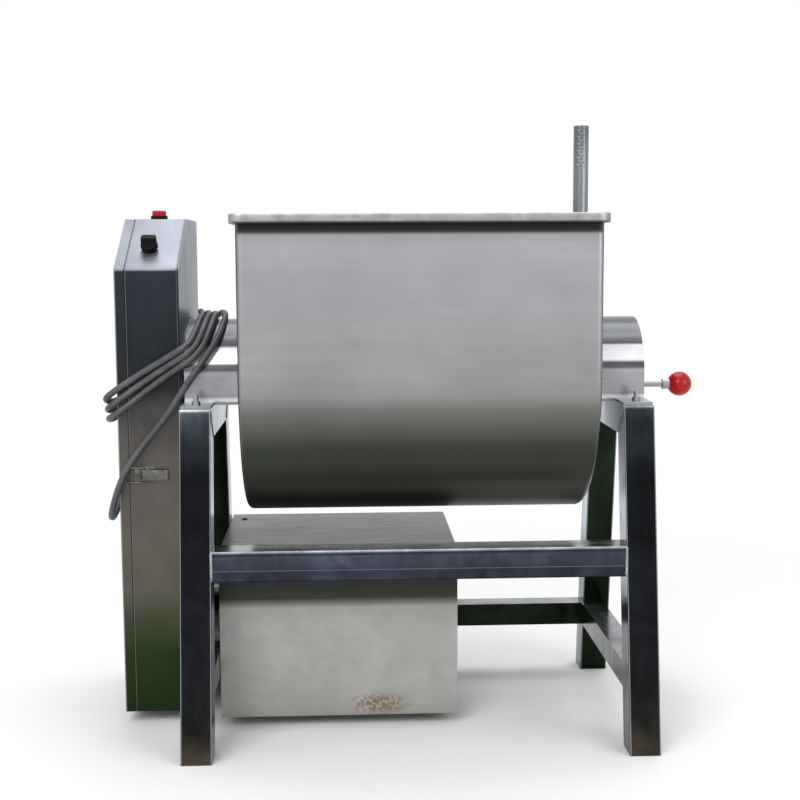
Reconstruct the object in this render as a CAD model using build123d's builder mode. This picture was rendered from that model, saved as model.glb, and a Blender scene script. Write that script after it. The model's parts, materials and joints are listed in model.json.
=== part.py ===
# Horizontal powder mixer: a U-shaped trough with a ribbon agitator, tilting in a square-tube frame.
# Millimetres. X runs along the trough, Y points to the back, Z is up from the floor.
from build123d import *
import math
import os

os.makedirs("parts", exist_ok=True)

# Frame of square tube
tube = 60
tube_wall = 3
frame_height = 672
foot_reach = 296
top_reach = 193
foot_plate = 5
front_beam_z = 342
stretcher = 50
stretcher_z = 114

# Trough
axis_rise = 63
trough_length = 684
trough_side_gap = 61
trough_radius = 290
mouth_rise = 309
trough_wall = 3
seam_radius = 12
rim_edge = 3
rim_height = 18
rim_overhang = 12

# Trunnions, bearings and shaft
shaft_radius = 22.5
trunnion_radius = 45
trunnion_bore = 31
trunnion_set_back = 7
shaft_chamfer = 2
flange_radius = 85
flange_thickness = 8
shaft_bearing_length = 22
bush_wall = 6
running_clearance = 0.05
moving_clearance = 0.4
housing_width = 44
housing_half = 72
bearing_plate = 6
bolt_y = 165
bolt_radius = 5
nut_radius = 8.5
ear_end = 22

# Bearing covers
cover_length = 105
cover_half = 114
cover_rise = 103
slot_clearance = 5
sheet = 2

# Agitator
end_gap = 12
ribbon_gap = 7
ribbon_width = 34
ribbon_thickness = 8
inner_ribbon_radius = 165
spoke_radius = 11
spoke_count = 4

# Chain drive
pitch = 19.05
teeth = 12
roller_radius = 5.95
chain_pitches_between = 26
chain_stand_off = 67
motor_y = 90
sprocket_thickness = 11
sprocket_hub_radius = 27.5
link_half = 7
link_plate = 1.8

# Drive cabinet
cabinet_stand_off = 12
cabinet_depth = 108
side_cover_depth = 21
shaft_hole_clearance = 6
cabinet_front_y = -60
cabinet_rear_y = 288
cabinet_bottom_z = 25
cabinet_front_rise = 271
cabinet_slope_end_y = 99
cabinet_slope_rise = 102

# Motor box and geared motor
box_leg_gap = 1
box_length = 486
box_front_y = -103
box_rear_y = 279
box_bottom_z = 24
box_top_z = 371
motor_plate = 10
output_radius = 15
gearbox_radius = 68
motor_radius = 64

# Lock plunger and tilt lever
plunger_y = -50
plunger_drop = 35
plunger_hole_clearance = 1
plunger_radius = 6
index_angles = (0, 30, 60, 90)
ball_radius = 25
ball_reach = 86
lever_y = 200
lever_stand_off = 43
lever_radius = 16.75
lever_top_rise = 514
lever_bottom_rise = 55
socket_wall = 4
socket_height = 140

# Controls
panel_hole = 11.2
selector_inset = 64
selector_up_slope = 70
button_y = 150

# Supply cable
cable_radius = 6.5
gland_inset = 18
gland_drop = 53
gland_length = 36
gland_thread = 8
gland_hex = 16
gland_cap = 13
boot_radius = 8.5
coil_turns = 3
plug_radius = 24
plug_length = 62
plug_pins = 4
pin_thickness = 2
pin_width = 6.5
pin_length = 20

# Heights worked out from the frame's height
axis_z = frame_height + axis_rise
mouth_z = axis_z + mouth_rise
cover_top = axis_z + cover_rise
cabinet_front_top_z = frame_height + cabinet_front_rise
cabinet_top_z = cabinet_front_top_z + cabinet_slope_rise
plunger_z = axis_z - plunger_drop
lever_bottom_z = axis_z + lever_bottom_rise
lever_top_z = axis_z + lever_top_rise
socket_top_z = lever_bottom_z + socket_height
gland_z = cabinet_front_top_z - gland_drop

# Places along the machine, from the frame's middle, worked out from the trough's length
frame_width = trough_length + 2 * (trough_side_gap + tube)
frame_end = frame_width / 2
leg_x = frame_end - tube
trunnion_reach = frame_end - trunnion_set_back
chain_x = frame_end + chain_stand_off
cabinet_inner_x = frame_end + cabinet_stand_off
cabinet_seam_x = cabinet_inner_x + cabinet_depth
cabinet_outer_x = cabinet_seam_x + side_cover_depth
selector_x = cabinet_inner_x + selector_inset
gland_x = cabinet_seam_x - gland_inset
box_left_x = leg_x - box_leg_gap
box_right_x = box_length - box_left_x
lever_x = trough_length / 2 + lever_stand_off
ball_x = frame_end + ball_reach

# The frame's middle is moved so that the origin is under the middle of the whole machine.
frame_x = (cabinet_outer_x - ball_x - ball_radius) / 2

# Worked out from the sizes above
lean = math.atan((foot_reach - top_reach) / frame_height)
mitre = math.tan(math.pi / 4 - lean / 2)
deck_z = frame_height + bearing_plate
trough_end = trough_length / 2
flange_face = trough_end + flange_thickness
inner_wall = trough_end - trough_wall
ribbon_outer = trough_radius - trough_wall - ribbon_gap
ribbon_end = inner_wall - end_gap
ribbon_pitch = 2 * ribbon_end
stretcher_top = stretcher_z + stretcher
motor_deck = stretcher_top + motor_plate
chain_span = chain_pitches_between * pitch
motor_z = axis_z - math.sqrt(chain_span ** 2 - motor_y ** 2)
pitch_radius = pitch / (2 * math.sin(math.pi / teeth))


def keep(piece, label):
    """Name a finished piece and write it to its own file."""
    piece.part.label = label
    export_step(piece.part, "parts/" + label + ".step")


def at_x(x):
    """Sketch plane across the machine: first axis to the back, second axis up."""
    return Plane.YZ.offset(frame_x + x)


def leg_y(z, depth=0):
    """Distance from the middle to a leg's outer face at height z, or depth inside it."""
    return foot_reach - z * math.tan(lean) - depth / math.cos(lean)


def side_name(side):
    return "left" if side < 0 else "right"


# Legs and top rails: mitred square tube, the legs closed by a plate at the foot
def hollow_bar(outline, cavity, x_low, width):
    with BuildPart() as bar:
        with BuildSketch(at_x(x_low)):
            Polygon(*outline, align=None)
        extrude(amount=width)
        with BuildSketch(at_x(x_low + tube_wall)):
            Polygon(*cavity, align=None)
        extrude(amount=width - 2 * tube_wall, mode=Mode.SUBTRACT)
    return bar


def mitre_point(depth):
    """Point on the mitre seam, depth below the top face, as distance from the middle and height."""
    return top_reach - depth * mitre, frame_height - depth


def leg_profile(depth_out, depth_in, bottom, end):
    return [
        (end * leg_y(bottom, depth_out), bottom),
        (end * leg_y(bottom, depth_in), bottom),
        (end * mitre_point(depth_in)[0], mitre_point(depth_in)[1]),
        (end * mitre_point(depth_out)[0], mitre_point(depth_out)[1]),
    ]


def rail_profile(depth_top, depth_bottom):
    top_y, top_z = mitre_point(depth_top)
    low_y, low_z = mitre_point(depth_bottom)
    return [(-top_y, top_z), (top_y, top_z), (low_y, low_z), (-low_y, low_z)]


def stretcher_profile(wall):
    low, high = stretcher_z + wall, stretcher_top - wall
    return [
        (-leg_y(low, tube), low),
        (leg_y(low, tube), low),
        (leg_y(high, tube), high),
        (-leg_y(high, tube), high),
    ]


for side in (-1, 1):
    low_x = leg_x if side > 0 else -leg_x - tube
    for end, end_name in ((-1, "front"), (1, "rear")):
        leg = hollow_bar(
            leg_profile(0, tube, 0, end),
            leg_profile(tube_wall, tube - tube_wall, foot_plate, end),
            low_x,
            tube,
        )
        keep(leg, "leg_" + end_name + "_" + side_name(side))
    with BuildPart() as top_rail:
        with BuildSketch(at_x(low_x)):
            Polygon(*rail_profile(0, tube), align=None)
        extrude(amount=tube)
        with BuildSketch(at_x(low_x + tube_wall)):
            Polygon(*rail_profile(tube_wall, tube - tube_wall), align=None)
        extrude(amount=tube - 2 * tube_wall, mode=Mode.SUBTRACT)
        with Locations((frame_x + side * (leg_x + tube / 2), bolt_y, frame_height),
                       (frame_x + side * (leg_x + tube / 2), -bolt_y, frame_height)):
            Cylinder(bolt_radius + moving_clearance, 2 * tube_wall, mode=Mode.SUBTRACT)
    keep(top_rail, "top_rail_" + side_name(side))
    stretcher_x = leg_x if side > 0 else -leg_x - stretcher
    side_stretcher = hollow_bar(stretcher_profile(0), stretcher_profile(tube_wall), stretcher_x, stretcher)
    keep(side_stretcher, "side_stretcher_" + side_name(side))


# Beams along the machine, between the inner faces of the legs
def long_beam(size, middle_y, middle_z):
    with BuildPart() as beam:
        with BuildSketch(at_x(-leg_x)):
            with Locations((middle_y, middle_z)):
                Rectangle(size, size)
                Rectangle(size - 2 * tube_wall, size - 2 * tube_wall, mode=Mode.SUBTRACT)
        extrude(amount=2 * leg_x)
    return beam


front_beam_middle = front_beam_z + tube / 2
rear_beam_middle = stretcher_z + stretcher / 2
front_beam = long_beam(tube, tube / 2 - leg_y(front_beam_middle), front_beam_middle)
keep(front_beam, "front_beam")
rear_beam_y = leg_y(rear_beam_middle, tube / 2)
rear_beam = long_beam(stretcher, rear_beam_y, rear_beam_middle)
keep(rear_beam, "rear_beam")


# Trough: straight walls over a half round, the seam at each end plate rounded
def trough_form(inset, top_z, seam):
    radius = trough_radius - inset
    half = trough_end - inset
    with BuildPart() as form:
        with BuildSketch(at_x(-half)):
            with BuildLine():
                Polyline((radius, axis_z), (radius, top_z), (-radius, top_z), (-radius, axis_z))
                ThreePointArc((-radius, axis_z), (0, axis_z - radius), (radius, axis_z))
            make_face()
        extrude(amount=2 * half)
        ends = form.faces().filter_by(Axis.X)
        seam_edges = ends.edges().filter_by(lambda edge: edge.center().Z < top_z - 1)
        fillet(seam_edges, seam)
    return form


trough_inside = trough_form(trough_wall, mouth_z + 1, seam_radius - trough_wall)
with BuildPart() as trough_shell:
    add(trough_form(0, mouth_z, seam_radius).part)
    add(trough_inside.part, mode=Mode.SUBTRACT)
    with BuildSketch(at_x(-trough_end)):
        with Locations((0, axis_z)):
            Circle(trunnion_bore)
    extrude(amount=trough_length, mode=Mode.SUBTRACT)
keep(trough_shell, "trough_shell")

# Rim: a folded box bead round the mouth
with BuildPart() as trough_rim:
    with BuildSketch(Plane.XY.offset(mouth_z - rim_height)):
        with Locations((frame_x, 0)):
            RectangleRounded(
                trough_length + 2 * rim_overhang,
                2 * trough_radius + 2 * rim_overhang,
                seam_radius + rim_overhang,
            )
            RectangleRounded(trough_length, 2 * trough_radius, seam_radius, mode=Mode.SUBTRACT)
    extrude(amount=rim_height)
    fillet(trough_rim.faces().sort_by(Axis.Z)[-1].outer_wire().edges(), rim_edge)
keep(trough_rim, "trough_rim")


# Hollow trunnions: a flange on each end plate and a tube that turns in the bearing housing
def plunger_hole_places():
    """Index holes in the right flange, one for each tilt angle, met by the plunger as the trough turns."""
    radius = math.hypot(plunger_y, plunger_z - axis_z)
    start = math.atan2(plunger_z - axis_z, plunger_y)
    return [
        (radius * math.cos(start - math.radians(tilt)), axis_z + radius * math.sin(start - math.radians(tilt)))
        for tilt in index_angles
    ]


for side in (-1, 1):
    with BuildPart() as trunnion:
        with BuildSketch(at_x(side * trough_end)):
            with Locations((0, axis_z)):
                Circle(flange_radius)
                Circle(trunnion_bore, mode=Mode.SUBTRACT)
            if side > 0:
                with Locations(*plunger_hole_places()):
                    Circle(plunger_radius + moving_clearance, mode=Mode.SUBTRACT)
        extrude(amount=side * flange_thickness)
        with BuildSketch(at_x(side * flange_face)):
            with Locations((0, axis_z)):
                Circle(trunnion_radius)
                Circle(trunnion_bore, mode=Mode.SUBTRACT)
        extrude(amount=side * (trunnion_reach - flange_face))
    keep(trunnion, "trunnion_" + side_name(side))

# Shaft bearings and seals, pressed into the trunnions
with BuildPart() as shaft_bearings:
    for side in (-1, 1):
        with BuildSketch(at_x(side * (trunnion_reach - shaft_bearing_length))):
            with Locations((0, axis_z)):
                Circle(trunnion_bore)
                Circle(shaft_radius + running_clearance, mode=Mode.SUBTRACT)
        extrude(amount=side * shaft_bearing_length)
keep(shaft_bearings, "shaft_bearings")

seal_length = flange_thickness + trough_wall
with BuildPart() as shaft_seals:
    for side in (-1, 1):
        with BuildSketch(at_x(side * inner_wall)):
            with Locations((0, axis_z)):
                Circle(trunnion_bore)
                Circle(shaft_radius + running_clearance, mode=Mode.SUBTRACT)
        extrude(amount=side * seal_length)
keep(shaft_seals, "shaft_seals")

# Bearing plates on the top rails, the housings on them and the bushes in the housings
plate_outer = frame_end - sheet
plate_inner = plate_outer - cover_length
housing_outer = plate_outer - sheet - moving_clearance
ear_y = bolt_y + ear_end
housing_bore = trunnion_radius + bush_wall
for side in (-1, 1):
    rail_middle = frame_x + side * (leg_x + tube / 2)
    plate_middle = frame_x + side * (plate_outer + plate_inner) / 2
    ear_length = plate_outer - leg_x
    with BuildPart() as bearing_plate_part:
        with BuildSketch(Plane.XY.offset(frame_height)):
            with Locations((plate_middle, 0)):
                Rectangle(cover_length, 2 * cover_half)
            with Locations((frame_x + side * (leg_x + ear_length / 2), 0)):
                Rectangle(ear_length, 2 * ear_y)
            with Locations((rail_middle, bolt_y), (rail_middle, -bolt_y)):
                Circle(bolt_radius + moving_clearance, mode=Mode.SUBTRACT)
        extrude(amount=bearing_plate)
    keep(bearing_plate_part, "bearing_plate_" + side_name(side))

    with BuildPart() as bearing_housing:
        with BuildSketch(at_x(side * housing_outer)):
            with BuildLine():
                Polyline((housing_half, axis_z), (housing_half, deck_z),
                         (-housing_half, deck_z), (-housing_half, axis_z))
                ThreePointArc((-housing_half, axis_z), (0, axis_z + housing_half), (housing_half, axis_z))
            make_face()
            with Locations((0, axis_z)):
                Circle(housing_bore, mode=Mode.SUBTRACT)
            if side > 0:
                with Locations((plunger_y, plunger_z)):
                    Circle(plunger_radius + running_clearance, mode=Mode.SUBTRACT)
        extrude(amount=-side * housing_width)
    keep(bearing_housing, "bearing_housing_" + side_name(side))

with BuildPart() as bearing_bushes:
    for side in (-1, 1):
        with BuildSketch(at_x(side * housing_outer)):
            with Locations((0, axis_z)):
                Circle(housing_bore)
                Circle(trunnion_radius + running_clearance, mode=Mode.SUBTRACT)
        extrude(amount=-side * housing_width)
keep(bearing_bushes, "bearing_bushes")

# Bolts through the plates' ears and the rails, each with its nut
bolt_head = 7
bolt_stand_out = 20
nut_height = 8
with BuildPart() as bearing_bolts:
    for side in (-1, 1):
        rail_middle = frame_x + side * (leg_x + tube / 2)
        for end in (-1, 1):
            with BuildSketch(Plane.XY.offset(frame_height - tube_wall)):
                with Locations((rail_middle, end * bolt_y)):
                    RegularPolygon(nut_radius, 6)
            extrude(amount=-bolt_head)
            with BuildSketch(Plane.XY.offset(frame_height - tube_wall)):
                with Locations((rail_middle, end * bolt_y)):
                    Circle(bolt_radius)
            extrude(amount=tube_wall + bearing_plate + bolt_stand_out)
            with BuildSketch(Plane.XY.offset(deck_z)):
                with Locations((rail_middle, end * bolt_y)):
                    RegularPolygon(nut_radius, 6)
            extrude(amount=nut_height)
keep(bearing_bolts, "bearing_bolts")


# Bearing covers: bent sheet, half round over straight sides, with end plates slotted for trunnion and shaft
def cover_outline(half, arch_z, low_z):
    """Closed outline of the cover at one depth of its sheet."""
    Polyline((half, arch_z), (half, low_z), (-half, low_z), (-half, arch_z))
    ThreePointArc((-half, arch_z), (0, arch_z + half), (half, arch_z))


arch_z = cover_top - cover_half
for side in (-1, 1):
    with BuildPart() as bearing_cover:
        with BuildSketch(at_x(side * plate_inner)):
            with BuildLine():
                cover_outline(cover_half, arch_z, deck_z)
            make_face()
        extrude(amount=side * cover_length)
        with BuildSketch(at_x(side * (plate_inner + sheet))):
            with BuildLine():
                cover_outline(cover_half - sheet, arch_z, deck_z)
            make_face()
        extrude(amount=side * (cover_length - 2 * sheet), mode=Mode.SUBTRACT)
        slot_half = trunnion_radius + slot_clearance
        with BuildSketch(at_x(side * plate_inner)):
            with Locations((0, axis_z)):
                Circle(slot_half)
            with Locations((0, (axis_z + deck_z) / 2)):
                Rectangle(2 * slot_half, axis_z - deck_z)
            if side > 0:
                with Locations((plunger_y, plunger_z)):
                    Circle(plunger_radius + plunger_hole_clearance)
        extrude(amount=side * sheet, mode=Mode.SUBTRACT)
        with BuildSketch(at_x(side * (plate_outer - sheet))):
            if side > 0:
                with Locations((plunger_y, plunger_z)):
                    Circle(plunger_radius + plunger_hole_clearance)
            else:
                with Locations((0, axis_z)):
                    Circle(shaft_radius + slot_clearance)
                with Locations((0, (axis_z + deck_z) / 2)):
                    Rectangle(2 * (shaft_radius + slot_clearance), axis_z - deck_z)
        extrude(amount=side * sheet, mode=Mode.SUBTRACT)
    keep(bearing_cover, "bearing_cover_" + side_name(side))

# Tilt lever: a tube in a socket that is welded to the right end plate
lever_plane_x = frame_x + lever_x
socket_radius = lever_radius + socket_wall
with BuildPart() as lever_socket:
    with BuildSketch(Plane.XY.offset(lever_bottom_z)):
        with Locations((lever_plane_x, lever_y)):
            Circle(socket_radius)
        with Locations((frame_x + (trough_end + lever_x) / 2, lever_y)):
            Rectangle(lever_x - trough_end, 2 * socket_wall)
        with Locations((lever_plane_x, lever_y)):
            Circle(lever_radius, mode=Mode.SUBTRACT)
    extrude(amount=socket_top_z - lever_bottom_z)
    with BuildSketch(at_x(trough_end)):
        with Locations((lever_y, (lever_bottom_z + socket_top_z) / 2)):
            RectangleRounded(4 * lever_radius, socket_top_z - lever_bottom_z, seam_radius)
    extrude(amount=socket_wall)
keep(lever_socket, "lever_socket")

with BuildPart() as tilt_lever:
    with BuildSketch(Plane.XY.offset(lever_bottom_z)):
        with Locations((lever_plane_x, lever_y)):
            Circle(lever_radius)
            Circle(lever_radius - tube_wall, mode=Mode.SUBTRACT)
    extrude(amount=lever_top_z - lever_bottom_z)
keep(tilt_lever, "tilt_lever")

# Agitator shaft, from the driven sprocket to the right trunnion
shaft_left = chain_x + 2 * sprocket_thickness
with BuildPart() as agitator_shaft:
    with BuildSketch(at_x(-shaft_left)):
        with Locations((0, axis_z)):
            Circle(shaft_radius)
    extrude(amount=shaft_left + trunnion_reach - sheet)
    chamfer(agitator_shaft.edges().filter_by(GeomType.CIRCLE), shaft_chamfer)
keep(agitator_shaft, "agitator_shaft")


# Ribbons: two outer ones wound one way and two inner ones wound the other way, all of one turn
def ribbon(outer_radius, start_angle, lefthand):
    middle_radius = outer_radius - ribbon_width / 2
    with BuildPart() as strip:
        with BuildLine():
            Helix(pitch=ribbon_pitch, height=ribbon_pitch, radius=middle_radius, lefthand=lefthand)
        with BuildSketch(Plane(origin=(middle_radius, 0, 0), x_dir=(1, 0, 0), z_dir=(0, 1, 0))):
            Rectangle(ribbon_width, ribbon_thickness)
        sweep(is_frenet=True)
    turned = strip.part.rotate(Axis.Z, start_angle).rotate(Axis.Y, 90)
    return turned.moved(Location((frame_x - ribbon_end, 0, axis_z)))


def ribbon_pair(outer_radius, start_angle, lefthand):
    with BuildPart() as pair:
        for half_turn in (0, 180):
            add(ribbon(outer_radius, start_angle + half_turn, lefthand))
    return pair


outer_ribbons = ribbon_pair(ribbon_outer, 0, False)
keep(outer_ribbons, "outer_ribbons")
inner_ribbons = ribbon_pair(inner_ribbon_radius, 90, True)
keep(inner_ribbons, "inner_ribbons")

# Spokes: bars through the shaft, notched for the inner ribbons and ending on the outer ones
spoke_reach = ribbon_outer - ribbon_width
with BuildPart() as ribbon_spokes:
    for step in range(spoke_count):
        turn = (step + 0.5) / spoke_count
        angle = 2 * math.pi * turn
        middle = (frame_x - ribbon_end + turn * ribbon_pitch, 0, axis_z)
        with BuildSketch(Plane(origin=middle, z_dir=(0, math.sin(angle), -math.cos(angle)))):
            Circle(spoke_radius)
        extrude(amount=trough_radius, both=True)
    with BuildSketch(at_x(-inner_wall)):
        with Locations((0, axis_z)):
            Circle(shaft_radius)
    extrude(amount=2 * inner_wall, mode=Mode.SUBTRACT)
    with BuildSketch(at_x(-inner_wall)):
        with Locations((0, axis_z)):
            Circle(2 * trough_radius)
            Circle(spoke_reach, mode=Mode.SUBTRACT)
    extrude(amount=2 * inner_wall, mode=Mode.SUBTRACT)
    add(inner_ribbons.part, mode=Mode.SUBTRACT)
keep(ribbon_spokes, "ribbon_spokes")

# Chain drive: the tight runs are a whole number of pitches long, so that every roller sits in a tooth gap
chain_lean = math.atan2(motor_z - axis_z, motor_y)
chain_start = chain_lean + math.pi / 2
tooth_turn = 2 * math.pi / teeth


def around(centre, radius, angle):
    return centre[0] + radius * math.cos(angle), centre[1] + radius * math.sin(angle)


def chain_places():
    """Roller centres as (y, z), round the upper sprocket, down, round the lower one and up again."""
    places = []
    for centre, start in (((0, axis_z), chain_start), ((motor_y, motor_z), chain_start + math.pi)):
        for step in range(teeth // 2):
            places.append(around(centre, pitch_radius, start + step * tooth_turn))
        leave = around(centre, pitch_radius, start + math.pi)
        for step in range(chain_pitches_between):
            places.append(around(leave, step * pitch, start - math.pi / 2))
    return places


def link_outline(place, following):
    """A link plate: a long hexagon over two rollers."""
    half = link_half
    ahead = math.atan2(following[1] - place[1], following[0] - place[0])
    corners = ((-half, 0), (-half / 2, -half), (pitch + half / 2, -half),
               (pitch + half, 0), (pitch + half / 2, half), (-half / 2, half))
    return [
        (
            place[0] + along * math.cos(ahead) - beside * math.sin(ahead),
            place[1] + along * math.sin(ahead) + beside * math.cos(ahead),
        )
        for along, beside in corners
    ]


roller_length = sprocket_thickness + 1
places = chain_places()
outlines = [link_outline(place, places[(step + 1) % len(places)]) for step, place in enumerate(places)]
with BuildPart() as drive_chain:
    with BuildSketch(at_x(-chain_x - roller_length / 2)):
        with Locations(*places):
            RegularPolygon(roller_radius, 6)
    extrude(amount=roller_length)
    for first, depth in ((0, roller_length / 2), (1, roller_length / 2 + link_plate)):
        for side in (-1, 1):
            with BuildSketch(at_x(-chain_x + side * depth)):
                for outline in outlines[first::2]:
                    Polygon(*outline, align=None)
            extrude(amount=side * link_plate)
keep(drive_chain, "drive_chain")


def sprocket(centre, bore):
    tooth_top = pitch_radius + roller_radius / 2
    with BuildPart() as wheel:
        with BuildSketch(at_x(-chain_x - sprocket_thickness / 2)):
            with Locations(centre):
                Circle(tooth_top)
            for step in range(teeth):
                angle = chain_start + step * tooth_turn
                with Locations(around(centre, pitch_radius, angle)):
                    Circle(roller_radius + moving_clearance, mode=Mode.SUBTRACT)
                with Locations(around(centre, pitch_radius + roller_radius, angle)):
                    Circle(roller_radius + 6 * moving_clearance, mode=Mode.SUBTRACT)
        extrude(amount=sprocket_thickness)
        with BuildSketch(at_x(-chain_x - 2 * sprocket_thickness)):
            with Locations(centre):
                Circle(sprocket_hub_radius)
        extrude(amount=4 * sprocket_thickness)
        with BuildSketch(at_x(-chain_x - 2 * sprocket_thickness)):
            with Locations(centre):
                Circle(bore)
        extrude(amount=4 * sprocket_thickness, mode=Mode.SUBTRACT)
    return wheel


driven_sprocket = sprocket((0, axis_z), shaft_radius)
keep(driven_sprocket, "driven_sprocket")
drive_sprocket = sprocket((motor_y, motor_z), output_radius)
keep(drive_sprocket, "drive_sprocket")

# Geared motor on its plate, with the output shaft reaching into the drive cabinet
beam_front = rear_beam_y - stretcher / 2
plate_rear = box_rear_y - sheet
tongue_half = 85
with BuildPart() as motor_base_plate:
    with BuildSketch(Plane.XY.offset(stretcher_top)):
        plate_length = box_left_x + box_right_x - 2 * sheet
        plate_depth = plate_rear - box_front_y - sheet
        with Locations((frame_x + (box_right_x - box_left_x) / 2, (plate_rear + box_front_y + sheet) / 2)):
            Rectangle(plate_length, plate_depth)
        with Locations((frame_x - (box_left_x + leg_x + stretcher) / 2, motor_y)):
            Rectangle(leg_x + stretcher - box_left_x + 4 * sheet, 2 * tongue_half)
    extrude(amount=motor_plate)
keep(motor_base_plate, "motor_base_plate")

gearbox_left = box_left_x - 8
gearbox_length = 130
motor_length = 226
gearbox_right = gearbox_left - gearbox_length
motor_end = gearbox_right - motor_length
waist_width = 95
foot_width = 163
foot_height = 14
bore_depth = 60
with BuildPart() as gearbox:
    with BuildSketch(at_x(-gearbox_left)):
        with Locations((motor_y, motor_z)):
            Circle(gearbox_radius)
        with Locations((motor_y, (motor_deck + motor_z) / 2)):
            Rectangle(waist_width, motor_z - motor_deck)
        with Locations((motor_y, motor_deck + foot_height / 2)):
            Rectangle(foot_width, foot_height)
    extrude(amount=gearbox_left - gearbox_right)
    with BuildSketch(at_x(-gearbox_left)):
        with Locations((motor_y, motor_z)):
            Circle(output_radius + running_clearance)
    extrude(amount=bore_depth, mode=Mode.SUBTRACT)
keep(gearbox, "gearbox")

cowl_length = 60
fin_count = 10
fin_height = 6
fin_pitch = 18
terminal_box = 90
with BuildPart() as drive_motor:
    with BuildSketch(at_x(-gearbox_right)):
        with Locations((motor_y, motor_z)):
            Circle(motor_radius - fin_height)
        with Locations((motor_y, motor_z + motor_radius)):
            Rectangle(terminal_box, motor_radius)
    extrude(amount=gearbox_right - motor_end)
    for step in range(fin_count):
        with BuildSketch(at_x(-gearbox_right + fin_pitch * step)):
            with Locations((motor_y, motor_z)):
                Circle(motor_radius)
        extrude(amount=fin_height)
    with BuildSketch(at_x(-motor_end - cowl_length)):
        with Locations((motor_y, motor_z)):
            Circle(motor_radius + 2)
    extrude(amount=cowl_length)
keep(drive_motor, "drive_motor")

with BuildPart() as output_shaft:
    shaft_end = chain_x + 2 * sprocket_thickness
    with BuildSketch(at_x(-shaft_end)):
        with Locations((motor_y, motor_z)):
            Circle(output_radius)
    extrude(amount=shaft_end - gearbox_left + bore_depth - moving_clearance)
keep(output_shaft, "output_shaft")

# Motor box: a sheet hood, open below, notched at the left for plate and shaft, at the right for the rear beam
with BuildPart() as motor_box:
    with BuildSketch(Plane.XY.offset(box_bottom_z)):
        with Locations((frame_x + (box_right_x - box_left_x) / 2, (box_rear_y + box_front_y) / 2)):
            Rectangle(box_left_x + box_right_x, box_rear_y - box_front_y)
    extrude(amount=box_top_z - box_bottom_z)
    offset(amount=-sheet, openings=motor_box.faces().sort_by(Axis.Z)[0])
    with BuildSketch(at_x(-box_left_x)):
        slot_front = motor_y - tongue_half - foot_height
        slot_rear = box_rear_y - 2 * sheet
        with Locations(((slot_front + slot_rear) / 2, (box_bottom_z + box_top_z) / 2 - foot_height)):
            Rectangle(slot_rear - slot_front, box_top_z - box_bottom_z)
    extrude(amount=sheet, mode=Mode.SUBTRACT)
    with BuildSketch(at_x(box_right_x - sheet)):
        with Locations((rear_beam_y, (box_bottom_z + stretcher_top) / 2)):
            Rectangle(stretcher + 2 * moving_clearance, stretcher_top - box_bottom_z + 2 * moving_clearance)
    extrude(amount=sheet, mode=Mode.SUBTRACT)
keep(motor_box, "motor_box")

# Drive cabinet: bent sheet with a sloped panel, open at the left where the side cover closes it
cabinet_profile = [
    (cabinet_front_y, cabinet_bottom_z),
    (cabinet_front_y, cabinet_front_top_z),
    (cabinet_slope_end_y, cabinet_top_z),
    (cabinet_rear_y, cabinet_top_z),
    (cabinet_rear_y, cabinet_bottom_z),
]
slope_length = math.hypot(cabinet_slope_end_y - cabinet_front_y, cabinet_top_z - cabinet_front_top_z)
slope_y = (cabinet_slope_end_y - cabinet_front_y) / slope_length
slope_z = (cabinet_top_z - cabinet_front_top_z) / slope_length
panel_plane = Plane(
    origin=(
        frame_x - selector_x,
        cabinet_front_y + selector_up_slope * slope_y,
        cabinet_front_top_z + selector_up_slope * slope_z,
    ),
    x_dir=(1, 0, 0),
    z_dir=(0, -slope_z, slope_y),
)
button_plane = Plane(origin=(frame_x - selector_x, button_y, cabinet_top_z))
gland_plane = Plane(origin=(frame_x - gland_x, cabinet_rear_y, gland_z), x_dir=(1, 0, 0), z_dir=(0, 1, 0))


def cabinet_shell(from_x, to_x, wall_x):
    """Folded tray with the cabinet's outline: walls from from_x to to_x, its plate at wall_x."""
    with BuildPart() as tray:
        with BuildSketch(at_x(-from_x)):
            Polygon(*cabinet_profile, align=None)
        extrude(amount=from_x - to_x)
        with BuildSketch(at_x(-from_x + wall_x)):
            Polygon(*cabinet_profile, align=None)
            offset(amount=-sheet, mode=Mode.REPLACE)
        extrude(amount=from_x - to_x - sheet, mode=Mode.SUBTRACT)
    return tray


with BuildPart() as drive_cabinet:
    add(cabinet_shell(cabinet_seam_x, cabinet_inner_x, 0).part)
    with BuildSketch(at_x(-cabinet_inner_x - sheet)):
        with Locations((0, axis_z)):
            Circle(shaft_radius + shaft_hole_clearance)
        with Locations((motor_y, motor_z)):
            Circle(output_radius + shaft_hole_clearance)
    extrude(amount=sheet, mode=Mode.SUBTRACT)
    for plane, hole in ((panel_plane, panel_hole), (button_plane, panel_hole), (gland_plane, gland_thread)):
        with BuildSketch(plane):
            Circle(hole)
        extrude(amount=-2 * sheet, mode=Mode.SUBTRACT)
keep(drive_cabinet, "drive_cabinet")

cabinet_side_cover = cabinet_shell(cabinet_outer_x, cabinet_seam_x, sheet)
keep(cabinet_side_cover, "cabinet_side_cover")

# Spacers that hold the cabinet off the frame
spacer_y = 120
spacer_size = 40
with BuildPart() as cabinet_spacers:
    for gap, height in ((cabinet_inner_x - leg_x - tube, frame_height - tube / 2),
                        (cabinet_inner_x - leg_x - stretcher, stretcher_z + stretcher / 2)):
        with BuildSketch(at_x(-cabinet_inner_x)):
            with Locations((0, height), (spacer_y, height)):
                Rectangle(spacer_size, spacer_size)
        extrude(amount=gap)
keep(cabinet_spacers, "cabinet_spacers")

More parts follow.
